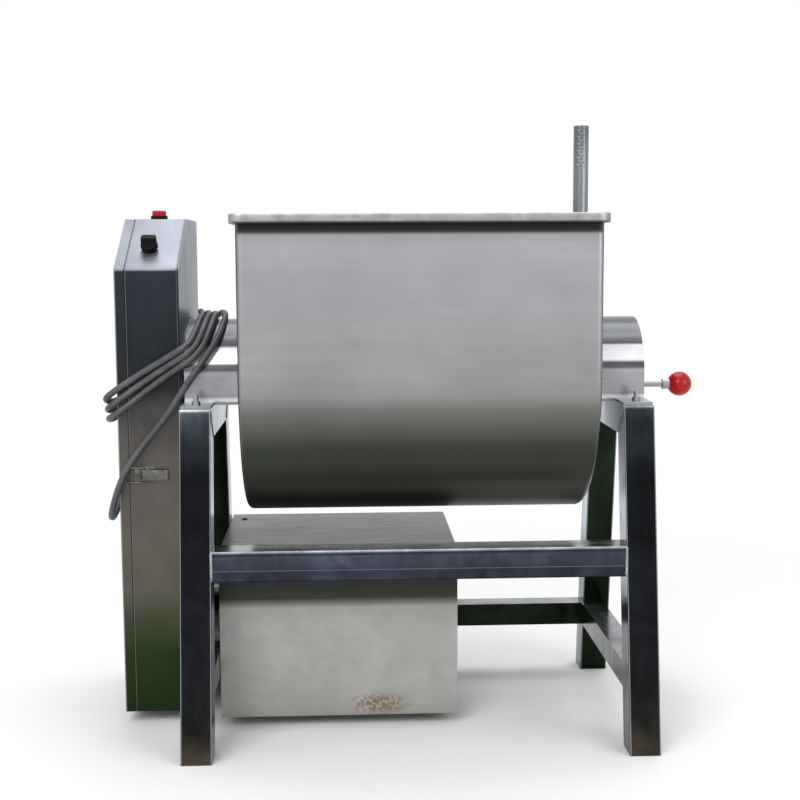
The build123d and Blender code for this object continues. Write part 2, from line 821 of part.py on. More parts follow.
# Selector switch: bezel and body through the panel, knob with a raised bar
bezel_radius = 16
bezel_height = 6
switch_depth = 48
knob_radius = 10
knob_clearance = 0.3
knob_height = 8
bar_width = 8
bar_length = 24
bar_height = 12
bar_corner = 2
with BuildPart() as selector_body:
    with BuildSketch(panel_plane):
        Circle(bezel_radius)
        Circle(knob_radius + knob_clearance, mode=Mode.SUBTRACT)
    extrude(amount=bezel_height)
    with BuildSketch(panel_plane):
        Circle(panel_hole)
    extrude(amount=-sheet)
    with BuildSketch(panel_plane.offset(-sheet)):
        Circle(bezel_radius)
    extrude(amount=-switch_depth)
keep(selector_body, "selector_body")

with BuildPart() as selector_knob:
    with BuildSketch(panel_plane.offset(knob_clearance)):
        Circle(knob_radius)
    extrude(amount=knob_height)
    with BuildSketch(panel_plane.offset(knob_height)):
        RectangleRounded(bar_width, bar_length, bar_corner)
    extrude(amount=bar_height)
keep(selector_knob, "selector_knob")

# Stop button: black collar with a well, red cap that slides in it
collar_radius = 18
collar_height = 8.5
cap_radius = 15
cap_height = 11
button_travel = 4
cap_clearance = 0.4
collar_floor = 1
stem_radius = 5
cap_edge = 3
with BuildPart() as stop_button_body:
    with BuildSketch(button_plane):
        Circle(collar_radius)
        Circle(stem_radius + cap_clearance, mode=Mode.SUBTRACT)
    extrude(amount=collar_floor)
    with BuildSketch(button_plane.offset(collar_floor)):
        Circle(collar_radius)
        Circle(cap_radius + cap_clearance, mode=Mode.SUBTRACT)
    extrude(amount=collar_height - collar_floor)
    with BuildSketch(button_plane):
        Circle(panel_hole)
        Circle(stem_radius + cap_clearance, mode=Mode.SUBTRACT)
    extrude(amount=-sheet)
    with BuildSketch(button_plane.offset(-sheet)):
        Circle(collar_radius)
        Circle(stem_radius + cap_clearance, mode=Mode.SUBTRACT)
    extrude(amount=-switch_depth)
keep(stop_button_body, "stop_button_body")

with BuildPart() as stop_button_cap:
    cap_bottom = collar_floor + button_travel + cap_clearance
    with BuildSketch(button_plane.offset(cap_bottom)):
        Circle(cap_radius)
    extrude(amount=collar_height + cap_height - cap_bottom)
    fillet(stop_button_cap.edges().sort_by(Axis.Z)[-1], cap_edge)
    with BuildSketch(button_plane.offset(cap_bottom)):
        Circle(stem_radius)
    extrude(amount=-cap_bottom - switch_depth / 2)
keep(stop_button_cap, "stop_button_cap")

# Lock plunger: a rod through cover and housing with its tip just clear of the right flange, and its ball
ball_seat = 22
neck_radius = 10.5
neck_length = 14
with BuildPart() as lock_plunger:
    rod_start = flange_face + moving_clearance
    with BuildSketch(at_x(rod_start)):
        with Locations((plunger_y, plunger_z)):
            Circle(plunger_radius)
    extrude(amount=ball_x - rod_start)
    with BuildSketch(at_x(ball_x - ball_seat - neck_length)):
        with Locations((plunger_y, plunger_z)):
            Circle(neck_radius)
    extrude(amount=neck_length)
keep(lock_plunger, "lock_plunger")

with BuildPart() as plunger_ball:
    with Locations((frame_x + ball_x, plunger_y, plunger_z)):
        Sphere(ball_radius)
    with BuildSketch(at_x(ball_x - ball_seat)):
        with Locations((plunger_y, plunger_z)):
            Circle(ball_radius)
    extrude(amount=-ball_radius, mode=Mode.SUBTRACT)
    with BuildSketch(at_x(ball_x - ball_seat)):
        with Locations((plunger_y, plunger_z)):
            Circle(plunger_radius)
    extrude(amount=ball_seat, mode=Mode.SUBTRACT)
keep(plunger_ball, "plunger_ball")

# Toggle latches, on the cabinet's front and back: base with ears, keeper on the side cover, lever, wire bail
latch_z = frame_height - 148
latch_pivot_x = cabinet_seam_x - 23
latch_pivot_rise = 5
latch_base_length = 40
latch_base_half = 17
latch_sheet = 1.5
ear_half = 4
ear_inner = 11
pin_radius = 1.5
lever_length = 55
lever_plate_rise = 6.6
bail_pin_offset = 7
bail_wire = 1.25
bail_half = 15.2
keeper_x = cabinet_seam_x + 5
keeper_height = 9
keeper_half = 9.5
latch_play = 0.3


def latch_plane(side, depth=0):
    """Plane across a latch, depth from its middle: first axis to the right, second off the cabinet."""
    face_y = cabinet_front_y if side < 0 else cabinet_rear_y
    return Plane(
        origin=(frame_x - latch_pivot_x, face_y, latch_z + side * depth),
        x_dir=(1, 0, 0),
        z_dir=(0, 0, side),
    )


def latch_slabs(side, inner, outer):
    """The two slabs of a latch piece, above and below its middle: plane and signed thickness."""
    return [(latch_plane(side, way * inner), way * (outer - inner)) for way in (-1, 1)]


cheek_outer = ear_inner - latch_play
cheek_half = latch_pivot_rise - latch_sheet - latch_play
for side, end_name in ((-1, "front"), (1, "rear")):
    flat = latch_plane(side, -latch_base_half)
    with BuildPart() as latch_base:
        with BuildSketch(flat):
            with Locations((latch_base_length / 2 - 2 * ear_half - bail_pin_offset / 2, latch_sheet / 2)):
                Rectangle(latch_base_length, latch_sheet)
        extrude(amount=2 * latch_base_half)
        for plane, thickness in latch_slabs(side, ear_inner, ear_inner + latch_sheet):
            with BuildSketch(plane):
                with Locations((0, latch_pivot_rise)):
                    Circle(ear_half)
                with Locations((0, latch_pivot_rise / 2)):
                    Rectangle(2 * ear_half, latch_pivot_rise)
            extrude(amount=thickness)
        with BuildSketch(latch_plane(side, -ear_inner - latch_sheet)):
            with Locations((0, latch_pivot_rise)):
                Circle(pin_radius)
        extrude(amount=2 * (ear_inner + latch_sheet))
    keep(latch_base, "latch_base_" + end_name)

    keeper_left = latch_pivot_x - cabinet_outer_x + latch_sheet
    keeper_right = latch_pivot_x - cabinet_seam_x
    with BuildPart() as latch_keeper:
        with BuildSketch(latch_plane(side, -keeper_half)):
            with Locations(((keeper_left + keeper_right) / 2, latch_sheet / 2)):
                Rectangle(keeper_right - keeper_left, latch_sheet)
            with Locations((latch_pivot_x - keeper_x, keeper_height / 2)):
                Rectangle(latch_sheet, keeper_height)
        extrude(amount=2 * keeper_half)
    keep(latch_keeper, "latch_keeper_" + end_name)

    with BuildPart() as latch_lever:
        for plane, thickness in latch_slabs(side, cheek_outer - latch_sheet, cheek_outer):
            with BuildSketch(plane):
                with Locations((0, latch_pivot_rise)):
                    Circle(cheek_half)
                with Locations((bail_pin_offset + 1, latch_pivot_rise)):
                    Rectangle(2 * bail_pin_offset + 2, 2 * cheek_half)
                with Locations((0, latch_pivot_rise)):
                    Circle(pin_radius + running_clearance, mode=Mode.SUBTRACT)
                with Locations((bail_pin_offset, latch_pivot_rise)):
                    Circle(bail_wire + running_clearance, mode=Mode.SUBTRACT)
            extrude(amount=thickness)
        with BuildSketch(latch_plane(side, -cheek_outer)):
            with Locations(((lever_length + bail_pin_offset + 3) / 2, lever_plate_rise + latch_sheet)):
                Rectangle(lever_length - bail_pin_offset - 3, latch_sheet)
        extrude(amount=2 * cheek_outer)
    keep(latch_lever, "latch_lever_" + end_name)

    crossbar_x = latch_pivot_x - keeper_x - latch_sheet / 2 - bail_wire - latch_play
    bail_middle = latch_plane(side)
    corners = [
        bail_middle.from_local_coords((bail_pin_offset, latch_pivot_rise, -cheek_outer + latch_sheet)),
        bail_middle.from_local_coords((bail_pin_offset, latch_pivot_rise, -bail_half)),
        bail_middle.from_local_coords((crossbar_x, latch_pivot_rise, -bail_half)),
        bail_middle.from_local_coords((crossbar_x, latch_pivot_rise, bail_half)),
        bail_middle.from_local_coords((bail_pin_offset, latch_pivot_rise, bail_half)),
        bail_middle.from_local_coords((bail_pin_offset, latch_pivot_rise, cheek_outer - latch_sheet)),
    ]
    with BuildPart() as latch_bail:
        with BuildLine():
            FilletPolyline(*corners, radius=2 * bail_wire)
        with BuildSketch(Plane(origin=corners[0], z_dir=corners[1] - corners[0])):
            Circle(bail_wire)
        sweep()
    keep(latch_bail, "latch_bail_" + end_name)


# Supply cable: gland at the back, lead to the coil, coil round cabinet and cover, slack turn and hanging end.
# Points are from the frame's left end at the height of the trough's axis.
lead_points = [
    (frame_end - gland_x, cabinet_rear_y + gland_length, gland_z - axis_z),
    (-102, 346, 155),
    (-102, 369, 143),
    (-101, 381, 119),
    (-99, 381, 85),
    (-95, 366, 53),
    (-87, 341, 26),
    (-71, 318, 8),
    (-43, 304, 7),
]
tail_points = [
    (1, 296, 35),
    (11, 250, 55),
    (31, 180, 91),
    (57, 105, 115),
    (75, 30, 121),
    (81, -45, 105),
    (71, -104, 65),
    (39, -130, 17),
    (1, -124, -35),
    (-40, -90, -99),
    (-82, -78, -145),
    (-117, -89, -187),
    (-137, -93, -229),
    (-151, -84, -271),
    (-161, -56, -301),
    (-161, -14, -305),
    (-153, 30, -277),
    (-150, 85, -215),
    (-150, 150, -163),
    (-154, 210, -135),
    (-162, 256, -129),
    (-163, 288, -129),
    (-154, 317, -130),
    (-129, 335, -133),
    (-93, 336, -138),
    (-59, 332, -147),
    (-37, 325, -173),
    (-25, 321, -207),
    (-21, 319, -245),
    (-21, 319, -285),
]
coil_stations = [
    ((43, 2, 113), (0, 0, 1)),
    ((42, -41, 106), (0, -0.34, 0.94)),
    ((37, -80, 85), (0, -0.64, 0.77)),
    ((29, -107, 55), (0, -0.87, 0.5)),
    ((16, -124, 39), (0, -1, 0.1)),
    ((-9, -124, 25), (0, -1, 0)),
    ((-42, -80, -1), (0, -1, 0)),
    ((-82, -70, -35), (0, -1, 0)),
    ((-122, -71, -69), (0, -1, 0)),
    ((-149, -75, -89), (-0.4, -0.9, 0)),
    ((-163, -56, -97), (-0.9, -0.4, 0)),
    ((-160, -10, -101), (-1, 0, 0)),
    ((-154, 110, -95), (-1, 0, 0)),
    ((-153, 230, -83), (-1, 0, 0)),
    ((-157, 284, -71), (-0.9, 0.4, 0)),
    ((-144, 304, -59), (-0.4, 0.9, 0)),
    ((-107, 301, -37), (0, 1, 0)),
    ((-42, 299, 9), (0, 1, 0)),
    ((-9, 304, 37), (0.5, 0.87, 0)),
    ((4, 287, 53), (0.9, 0.4, 0)),
    ((7, 240, 71), (1, 0, 0)),
    ((19, 130, 103), (0.75, 0, 0.66)),
    ((35, 50, 114), (0.15, 0, 0.99)),
]


def cable_point(point):
    return Vector(*point) + Vector(frame_x - frame_end, 0, axis_z)


def cable_run(points):
    """Tube along straight runs joined by tangent arcs, as large as the runs on each side allow."""
    route = [cable_point(point) for point in points]
    runs = [after - before for before, after in zip(route, route[1:])]
    radii = [
        0.45 * min(before.length, after.length) / math.tan(math.radians(before.get_angle(after) / 2))
        for before, after in zip(runs, runs[1:])
    ]
    print("bend radii:", [round(radius) for radius in radii])
    with BuildPart() as tube_part:
        with BuildLine() as line:
            FilletPolyline(*route, radius=radii)
        with BuildSketch(Plane(origin=route[0], z_dir=runs[0])):
            Circle(cable_radius)
        sweep()
    length = sum(edge.length for edge in line.edges())
    print("length:", round(length), "volume over section times length:",
          round(tube_part.part.volume / (length * math.pi * cable_radius ** 2), 4))
    return tube_part


cable_lead = cable_run(lead_points)
keep(cable_lead, "cable_lead")
cable_tail = cable_run(tail_points)
keep(cable_tail, "cable_tail")

# Coil: the outer shape of the turns lying side by side, closed on itself
coil_slack = 1
coil_width = 2 * cable_radius * coil_turns + 3 * coil_slack
coil_thickness = 2 * cable_radius + coil_slack


def coil_section(step):
    """Section plane at one station: first axis across the turns, second away from what they lie on."""
    count = len(coil_stations)
    ahead = Vector(*coil_stations[(step + 1) % count][0]) - Vector(*coil_stations[step - 1][0])
    outward = Vector(*coil_stations[step][1])
    return Plane(origin=cable_point(coil_stations[step][0]), x_dir=ahead.cross(outward), z_dir=ahead)


with BuildPart() as cable_coil:
    for step in range(len(coil_stations)):
        for plane in (coil_section(step - 1), coil_section(step)):
            with BuildSketch(plane):
                Rectangle(coil_width, coil_thickness)
        loft(ruled=True)
keep(cable_coil, "cable_coil")

# Gland: hexagon nut on the back wall, thread and lock nut through it, tapered strain relief
with BuildPart() as cable_gland:
    with BuildSketch(gland_plane.offset(-sheet - gland_thread)):
        Circle(gland_thread)
    extrude(amount=sheet + gland_thread)
    with BuildSketch(gland_plane.offset(-sheet)):
        RegularPolygon(gland_hex, 6)
    extrude(amount=-gland_thread / 2)
    with BuildSketch(gland_plane):
        RegularPolygon(gland_hex, 6)
    extrude(amount=gland_thread)
    with BuildSketch(gland_plane.offset(gland_thread)):
        Circle(gland_cap)
    with BuildSketch(gland_plane.offset(gland_length)):
        Circle(boot_radius)
    loft()
keep(cable_gland, "cable_gland")

# Plug, hanging from the cable's end: tapered grip, round body and flat pins
plug_plane = Plane(origin=cable_point(tail_points[-1]), z_dir=(0, 0, -1))
with BuildPart() as cable_plug:
    with BuildSketch(plug_plane):
        Circle(boot_radius)
    with BuildSketch(plug_plane.offset(plug_length / 2)):
        Circle(plug_radius)
    loft()
    with BuildSketch(plug_plane.offset(plug_length / 2)):
        Circle(plug_radius)
    extrude(amount=plug_length / 2)
    with BuildSketch(plug_plane.offset(plug_length)):
        with PolarLocations(plug_radius / 2, plug_pins):
            Rectangle(pin_thickness, pin_width)
    extrude(amount=pin_length)
keep(cable_plug, "cable_plug")
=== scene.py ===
# %% [markdown]
# # Horizontal powder mixer
# A trough with a ribbon agitator tilts in a frame of square tube. The solids come from the packed
# model, and this lesson gives them their steel. It also adds what solids do badly: the cable, the
# dimpled grip, the weld seams and small trim. All lengths are in metres, in the model's own frame.

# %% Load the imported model
import json
import math

import bpy
import numpy as np
from mathutils import Matrix, Vector


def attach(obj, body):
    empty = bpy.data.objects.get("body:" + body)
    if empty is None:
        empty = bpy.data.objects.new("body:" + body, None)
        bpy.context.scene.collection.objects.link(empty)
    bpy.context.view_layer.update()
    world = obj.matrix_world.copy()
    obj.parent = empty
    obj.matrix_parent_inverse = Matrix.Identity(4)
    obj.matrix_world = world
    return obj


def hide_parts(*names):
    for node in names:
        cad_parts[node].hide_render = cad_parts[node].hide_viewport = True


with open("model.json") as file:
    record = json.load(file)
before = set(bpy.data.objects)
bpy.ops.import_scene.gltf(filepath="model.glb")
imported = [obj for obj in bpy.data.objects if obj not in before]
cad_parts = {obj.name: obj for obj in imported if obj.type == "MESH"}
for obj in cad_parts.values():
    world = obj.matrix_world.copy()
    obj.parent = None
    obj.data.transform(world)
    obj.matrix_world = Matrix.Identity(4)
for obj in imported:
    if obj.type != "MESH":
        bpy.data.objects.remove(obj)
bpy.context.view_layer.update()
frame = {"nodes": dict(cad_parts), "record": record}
nodes = frame["nodes"]

# %% [markdown]
# A few places on the frame are used again and again: its middle, and how far the inner and outer
# faces of the legs are from there.

# %% Places on the frame
frame_x = 0.015
leg_inner, leg_outer = 0.403, 0.463
leg_top = 0.672
print("legs from x", round(frame_x - leg_outer, 3), "to", round(frame_x + leg_outer, 3))

# %% [markdown]
# The camera stands where the photo was taken from: a little left of the middle, chest high, looking
# slightly down and to the right. Blender could aim it with a Track To constraint, but a fitted
# camera has a small roll as well, so its three axes are worked out from pitch, yaw and roll.

# %% Camera
yaw, pitch, roll = 0.0437, 0.1118, -0.0047
forward = Vector((math.sin(yaw) * math.cos(pitch), math.cos(yaw) * math.cos(pitch),
                  -math.sin(pitch)))
level = Vector((math.cos(yaw), -math.sin(yaw), 0))
upright = level.cross(forward)
right = math.cos(roll) * level + math.sin(roll) * upright
above = math.cos(roll) * upright - math.sin(roll) * level
place = Vector((-0.1296, -2.6769, 0.9666))
camera = bpy.data.objects.new("camera", bpy.data.cameras.new("camera"))
camera.data.lens, camera.data.sensor_width = 57.98, 36
camera.matrix_world = Matrix((right, above, -forward)).transposed().to_4x4()
camera.location = place
bpy.context.scene.collection.objects.link(camera)
bpy.context.scene.camera = camera
print("camera at", tuple(round(c, 3) for c in place))

# %% [markdown]
# The supply cable leaves its gland behind the cabinet, drops, and makes three turns side by side
# round the cabinet and over the left bearing cover. A slack fourth strand then falls in a loop down
# the front and hangs at the back with its plug. It could be laid by a cloth or rope simulation, but
# a coil that follows the photo is surer as a route of points. They are in millimetres, from the
# frame's left end at the height of the trough's axis. Each station of the coil is the middle of the
# turns, with the direction that points away from what they lie on.

# %% The cable's route, point by point
lead = [(-102, 324, 155), (-102, 346, 155), (-102, 369, 143), (-101, 381, 119), (-99, 381, 85),
        (-95, 366, 53), (-87, 341, 26), (-71, 318, 8)]
stations = [
    ((-42, 299, 9), (0, 1, 0)), ((-9, 304, 37), (0.5, 0.87, 0)), ((4, 287, 53), (0.9, 0.4, 0)),
    ((7, 240, 71), (1, 0, 0)), ((19, 130, 103), (0.75, 0, 0.66)), ((35, 50, 114), (0.15, 0, 0.99)),
    ((43, 2, 113), (0, 0, 1)), ((42, -41, 106), (0, -0.34, 0.94)),
    ((37, -80, 85), (0, -0.64, 0.77)), ((28, -107, 58), (0, -0.87, 0.5)),
    ((12, -124, 42), (0, -1, 0.1)), ((-12, -118, 27), (0, -1, 0)), ((-44, -84, 7), (0, -1, 0)),
    ((-84, -72, -19), (0, -1, 0)), ((-122, -72, -46), (0, -1, 0)),
    ((-149, -76, -66), (-0.4, -0.9, 0)), ((-163, -56, -77), (-0.9, -0.4, 0)),
    ((-160, -10, -84), (-1, 0, 0)), ((-154, 110, -86), (-1, 0, 0)), ((-153, 230, -80), (-1, 0, 0)),
    ((-157, 284, -71), (-0.9, 0.4, 0)), ((-144, 304, -59), (-0.4, 0.9, 0)),
    ((-107, 301, -37), (0, 1, 0))]
tail = [(1, 296, 35), (11, 250, 55), (31, 180, 91), (57, 105, 112), (73, 30, 114), (78, -45, 101),
        (67, -104, 65), (38, -130, 22), (4, -124, -26), (-38, -90, -88), (-82, -78, -139),
        (-117, -89, -187), (-137, -93, -229), (-151, -84, -271), (-161, -56, -301),
        (-161, -14, -305), (-153, 30, -277), (-150, 85, -215), (-150, 150, -163),
        (-154, 210, -135), (-162, 256, -129), (-163, 288, -129), (-154, 317, -130),
        (-129, 335, -133), (-93, 336, -138), (-59, 332, -147), (-37, 325, -173), (-25, 321, -207),
        (-21, 319, -245), (-21, 319, -285)]
print("the coil has", len(stations), "stations")

# %% [markdown]
# A turn is the row of stations moved sideways, so that the three turns lie next to each other. The
# turns spread on the cabinet's front, where nothing holds them: `fan` is that spread, station by
# station.

# %% Lead, three turns and tail in one row
fan = [1] * 11 + [1.02, 1.1, 1.24, 1.4, 1.46, 1.4, 1.3, 1.15, 1.05] + [1] * 3
axis_height = 735
turn_spacing = 13.8
frame_left = frame_x - leg_outer


def course(step):
    """Direction of the coil at a station: from the station before it to the one after it."""
    return Vector(stations[(step + 1) % len(stations)][0]) - Vector(stations[step - 1][0])


def turn_points(offset):
    """One turn: each station plus offset times its spread, square to its course and outward way."""
    return [Vector(centre) + offset * fan[step] * course(step).cross(Vector(outward)).normalized()
            for step, (centre, outward) in enumerate(stations)]


def placed(point):
    """A route's point in the model's frame: raised to the axis, in metres, from the left end."""
    return (Vector(point) + Vector((0, 0, axis_height))) * 0.001 + Vector((frame_left, 0, 0))


turns = [turn_points(offset) for offset in (turn_spacing, 0, -turn_spacing)]
route = [placed(point) for point in lead + turns[0] + turns[1] + turns[2] + tail]
print("the cable's route has", len(route), "points")

# %% [markdown]
# The cable is a NURBS curve with the route as its control points, so it stays smooth everywhere.
# A mesh copy of the bare curve is made before the round section is added: the section has a
# depth of one, and every point's radius brings it down to the cable's own.

# %% The cable
cable_diameter = 0.013
curve = bpy.data.curves.new("supply_cable", "CURVE")
curve.dimensions = "3D"
spline = curve.splines.new("NURBS")
spline.points.add(len(route) - 1)
for point, where in zip(spline.points, route):
    point.co = (*where, 1)
    point.radius = cable_diameter / 2
spline.order_u = 3
spline.use_endpoint_u = True
spline.resolution_u = 8
cable = bpy.data.objects.new("supply_cable", curve)
bpy.context.scene.collection.objects.link(cable)
line = bpy.data.meshes.new_from_object(cable)
curve.bevel_depth = 1.0
curve.bevel_resolution = 5
curve.use_fill_caps = True
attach(cable, "frame")
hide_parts("cable_lead", "cable_coil", "cable_tail")

# %% [markdown]
# Materials are graphs of nodes. A few small helpers keep them short: one adds any node and fills
# its inputs, and the others are the nodes that come up most.

# %% Helpers for node graphs
def srgb(r, g, b):
    """Display colour from 0 to 255 as scene-linear colour, by the sRGB curve."""
    def one(c):
        c /= 255
        return c / 12.92 if c <= 0.04045 else ((c + 0.055) / 1.055) ** 2.4
    return (one(r), one(g), one(b), 1)


def link(tree, kind, settings=None, **inputs):
    """Add a node, set its properties, and fill its inputs with values or other nodes' outputs.
    An input is named by its label, or as i and its number where two have the same label."""
    node = tree.nodes.new(kind)
    for key, value in (settings or {}).items():
        setattr(node, key, value)
    for key, value in inputs.items():
        numbered = key[0] == "i" and key[1:].isdigit()
        socket = node.inputs[int(key[1:]) if numbered else key.replace("_", " ")]
        if isinstance(value, bpy.types.NodeSocket):
            tree.links.new(value, socket)
        else:
            socket.default_value = value
    return node


def coordinates(tree):
    """The piece's own coordinates, which are the model's."""
    return link(tree, "ShaderNodeTexCoord").outputs["Object"]


def split(tree, vector):
    """The vector's X, Y and Z."""
    return link(tree, "ShaderNodeSeparateXYZ", None, Vector=vector).outputs


def maths(tree, operation, *values):
    """One arithmetic operation."""
    inputs = {f"i{number}": value for number, value in enumerate(values)}
    return link(tree, "ShaderNodeMath", {"operation": operation}, **inputs).outputs[0]


def remap(tree, value, low, high, to_low=0.0, to_high=1.0):
    """Value carried in a straight line from low and high to two new ends, and held there."""
    return link(tree, "ShaderNodeMapRange", None, Value=value, From_Min=low, From_Max=high,
                To_Min=to_low, To_Max=to_high).outputs[0]


def mix(tree, share, first, second):
    """First colour where the share is 0, second where it is 1."""
    return link(tree, "ShaderNodeMix", {"data_type": "RGBA"}, i0=share, i6=first,
                i7=second).outputs[2]


noise_low, noise_high = 0.3, 0.7


def noise(tree, where, scale, detail, **more):
    """Soft random values from 0 to 1, of which most lie between noise_low and noise_high."""
    return link(tree, "ShaderNodeTexNoise", None, Vector=where, Scale=scale, Detail=detail,
                **more).outputs["Fac"]


def new_material(name):
    """Empty material: its node tree and its shader."""
    material = bpy.data.materials.new(name)
    material.use_nodes = True
    return material, material.node_tree, material.node_tree.nodes["Principled BSDF"]


print("white is", srgb(255, 255, 255))

# %% [markdown]
# Steel is made of a few shared effects, each a node group that only hands out a value or a colour.
# The first three are brushed grain, soft smudges and fine speckle. Noise stretched along one axis
# looks brushed, large soft noise looks wiped, and the peaks of fine noise look like spatter.

# %% Shared effects: grain, smudges and speckle
def group(name, inputs, output, kind):
    """Empty node group with named inputs and one output."""
    tree = bpy.data.node_groups.new(name, "ShaderNodeTree")
    for label, socket, default in inputs:
        made = tree.interface.new_socket(label, in_out="INPUT", socket_type=socket)
        made.default_value = default
    tree.interface.new_socket(output, in_out="OUTPUT", socket_type=kind)
    ends = tree.nodes.new("NodeGroupInput").outputs, tree.nodes.new("NodeGroupOutput").inputs
    return tree, *ends


grain_group, ins, outs = group(
    "brushed_grain", [("Stretch", "NodeSocketVector", (4, 300, 300))], "Grain", "NodeSocketFloat")
scaled = link(grain_group, "ShaderNodeVectorMath", {"operation": "MULTIPLY"},
              i0=coordinates(grain_group), i1=ins["Stretch"])
grain_group.links.new(noise(grain_group, scaled.outputs[0], 1.0, 4.0, Roughness=0.6),
                      outs["Grain"])

smudge_group, ins, outs = group(
    "smudges", [("Size", "NodeSocketFloat", 6.0), ("Low", "NodeSocketFloat", 0.7),
                ("High", "NodeSocketFloat", 1.2)], "Factor", "NodeSocketFloat")
soft = noise(smudge_group, coordinates(smudge_group), ins["Size"], 5.0, Roughness=0.55,
             Distortion=0.6)
wiped = remap(smudge_group, soft, noise_low, noise_high, ins["Low"], ins["High"])
smudge_group.links.new(wiped, outs["Factor"])

speck_group, ins, outs = group(
    "speckle", [("Scale", "NodeSocketFloat", 90.0), ("Edge", "NodeSocketFloat", 0.66)], "Mask",
    "NodeSocketFloat")
coords = coordinates(speck_group)
fine, broad = noise(speck_group, coords, ins["Scale"], 3.0), noise(speck_group, coords, 5.0, 2.0)
both = maths(speck_group, "MULTIPLY_ADD", broad, 0.35, fine)
over = maths(speck_group, "SUBTRACT", both, ins["Edge"])
speck_group.links.new(remap(speck_group, over, 0.1, 0.2), outs["Mask"])
print("shared effects:", [g.name for g in bpy.data.node_groups])

# %% [markdown]
# Mirror-bright steel shows its surroundings, and here those are a bare studio. Its reflections are
# therefore painted, and each belongs to one way of facing: the fourth effect chooses a colour by
# the way that a face points.

# %% Shared effect: colour by facing
ways = [(way, "NodeSocketColor", (1, 1, 1, 1)) for way in ("Front", "Back", "Side", "Top")]
facing_group, ins, outs = group("by_facing", ways, "Color", "NodeSocketColor")
normal = split(facing_group, link(facing_group, "ShaderNodeTexCoord").outputs["Normal"])
to_side = remap(facing_group, maths(facing_group, "ABSOLUTE", normal["X"]), 0.45, 0.85)
to_top = remap(facing_group, normal["Z"], 0.35, 0.8)
to_back = remap(facing_group, normal["Y"], -0.1, 0.1)
across = mix(facing_group, to_back, ins["Front"], ins["Back"])
upright_faces = mix(facing_group, to_side, across, ins["Side"])
facing_group.links.new(mix(facing_group, to_top, upright_faces, ins["Top"]), outs["Color"])
print("by_facing has", len(facing_group.nodes), "nodes")

# %% [markdown]
# One recipe makes every metal. A ramp of colours goes up the part for faces that look forward, and
# the sides, the back and the top have their own: these are painted reflections, light and shade.
# That colour is multiplied by grain and smudges. Marks go over it: speckle, one stain, and thin
# lines, dark ones for seams and edges, and painted highlights along folded edges and corners.

# %% Steps of the metal recipe
def use(tree, which, **inputs):
    """Place a shared effect in a material."""
    node = tree.nodes.new("ShaderNodeGroup")
    node.node_tree = which
    for key, value in inputs.items():
        if isinstance(value, bpy.types.NodeSocket):
            tree.links.new(value, node.inputs[key])
        else:
            node.inputs[key].default_value = value
    return node.outputs[0]


def ramp(tree, height, stops):
    """Colours along a height: stops are pairs of height and display colour, joined in between."""
    low, high = min(at for at, _ in stops), max(at for at, _ in stops)
    node = link(tree, "ShaderNodeValToRGB", None, Fac=remap(tree, height, low, high))
    cells = node.color_ramp.elements
    while len(cells) < len(stops):
        cells.new(0.5)
    for cell, (at, colour) in zip(cells, sorted(stops)):
        cell.position = (at - low) / (high - low)
        cell.color = srgb(*colour)
    return node.outputs["Color"]


def times(tree, colour, factor):
    """Colour multiplied by a value."""
    return link(tree, "ShaderNodeVectorMath", {"operation": "SCALE"}, i0=colour,
                Scale=factor).outputs[0]


def stain_mask(tree, where, x, z, half_width, half_height):
    """Speckle inside an ellipse on the front of the motor box: distance from its middle, counted in
    half widths and half heights and three times the depth, fades the marks out towards 1."""
    front, deep = -0.31 / 3, 3
    away = link(tree, "ShaderNodeVectorMath", {"operation": "MULTIPLY_ADD"}, i0=where,
                i1=(1 / half_width, deep, 1 / half_height),
                i2=(-x / half_width, -front * deep, -z / half_height))
    away = link(tree, "ShaderNodeVectorMath", {"operation": "LENGTH"}, i0=away.outputs[0])
    patch = remap(tree, away.outputs["Value"], 0.4, 1.0, 0.9, 0.0)
    return maths(tree, "MULTIPLY", use(tree, speck_group, Scale=150.0, Edge=0.52), patch)


def line_mask(tree, along_axis, at, half_width):
    """One within half of half_width of a place on an axis, fading out at half_width."""
    away = maths(tree, "ABSOLUTE", maths(tree, "SUBTRACT", along_axis, at))
    return remap(tree, away, half_width * 0.5, half_width, 0.9, 0.0)


print("steps of the metal recipe ready")

# %% [markdown]
# Grain also drives roughness and a very fine bump, so that highlights break up along the brushing.
# Where the sides of a part reflect less than its front, metallic goes through the facing effect.

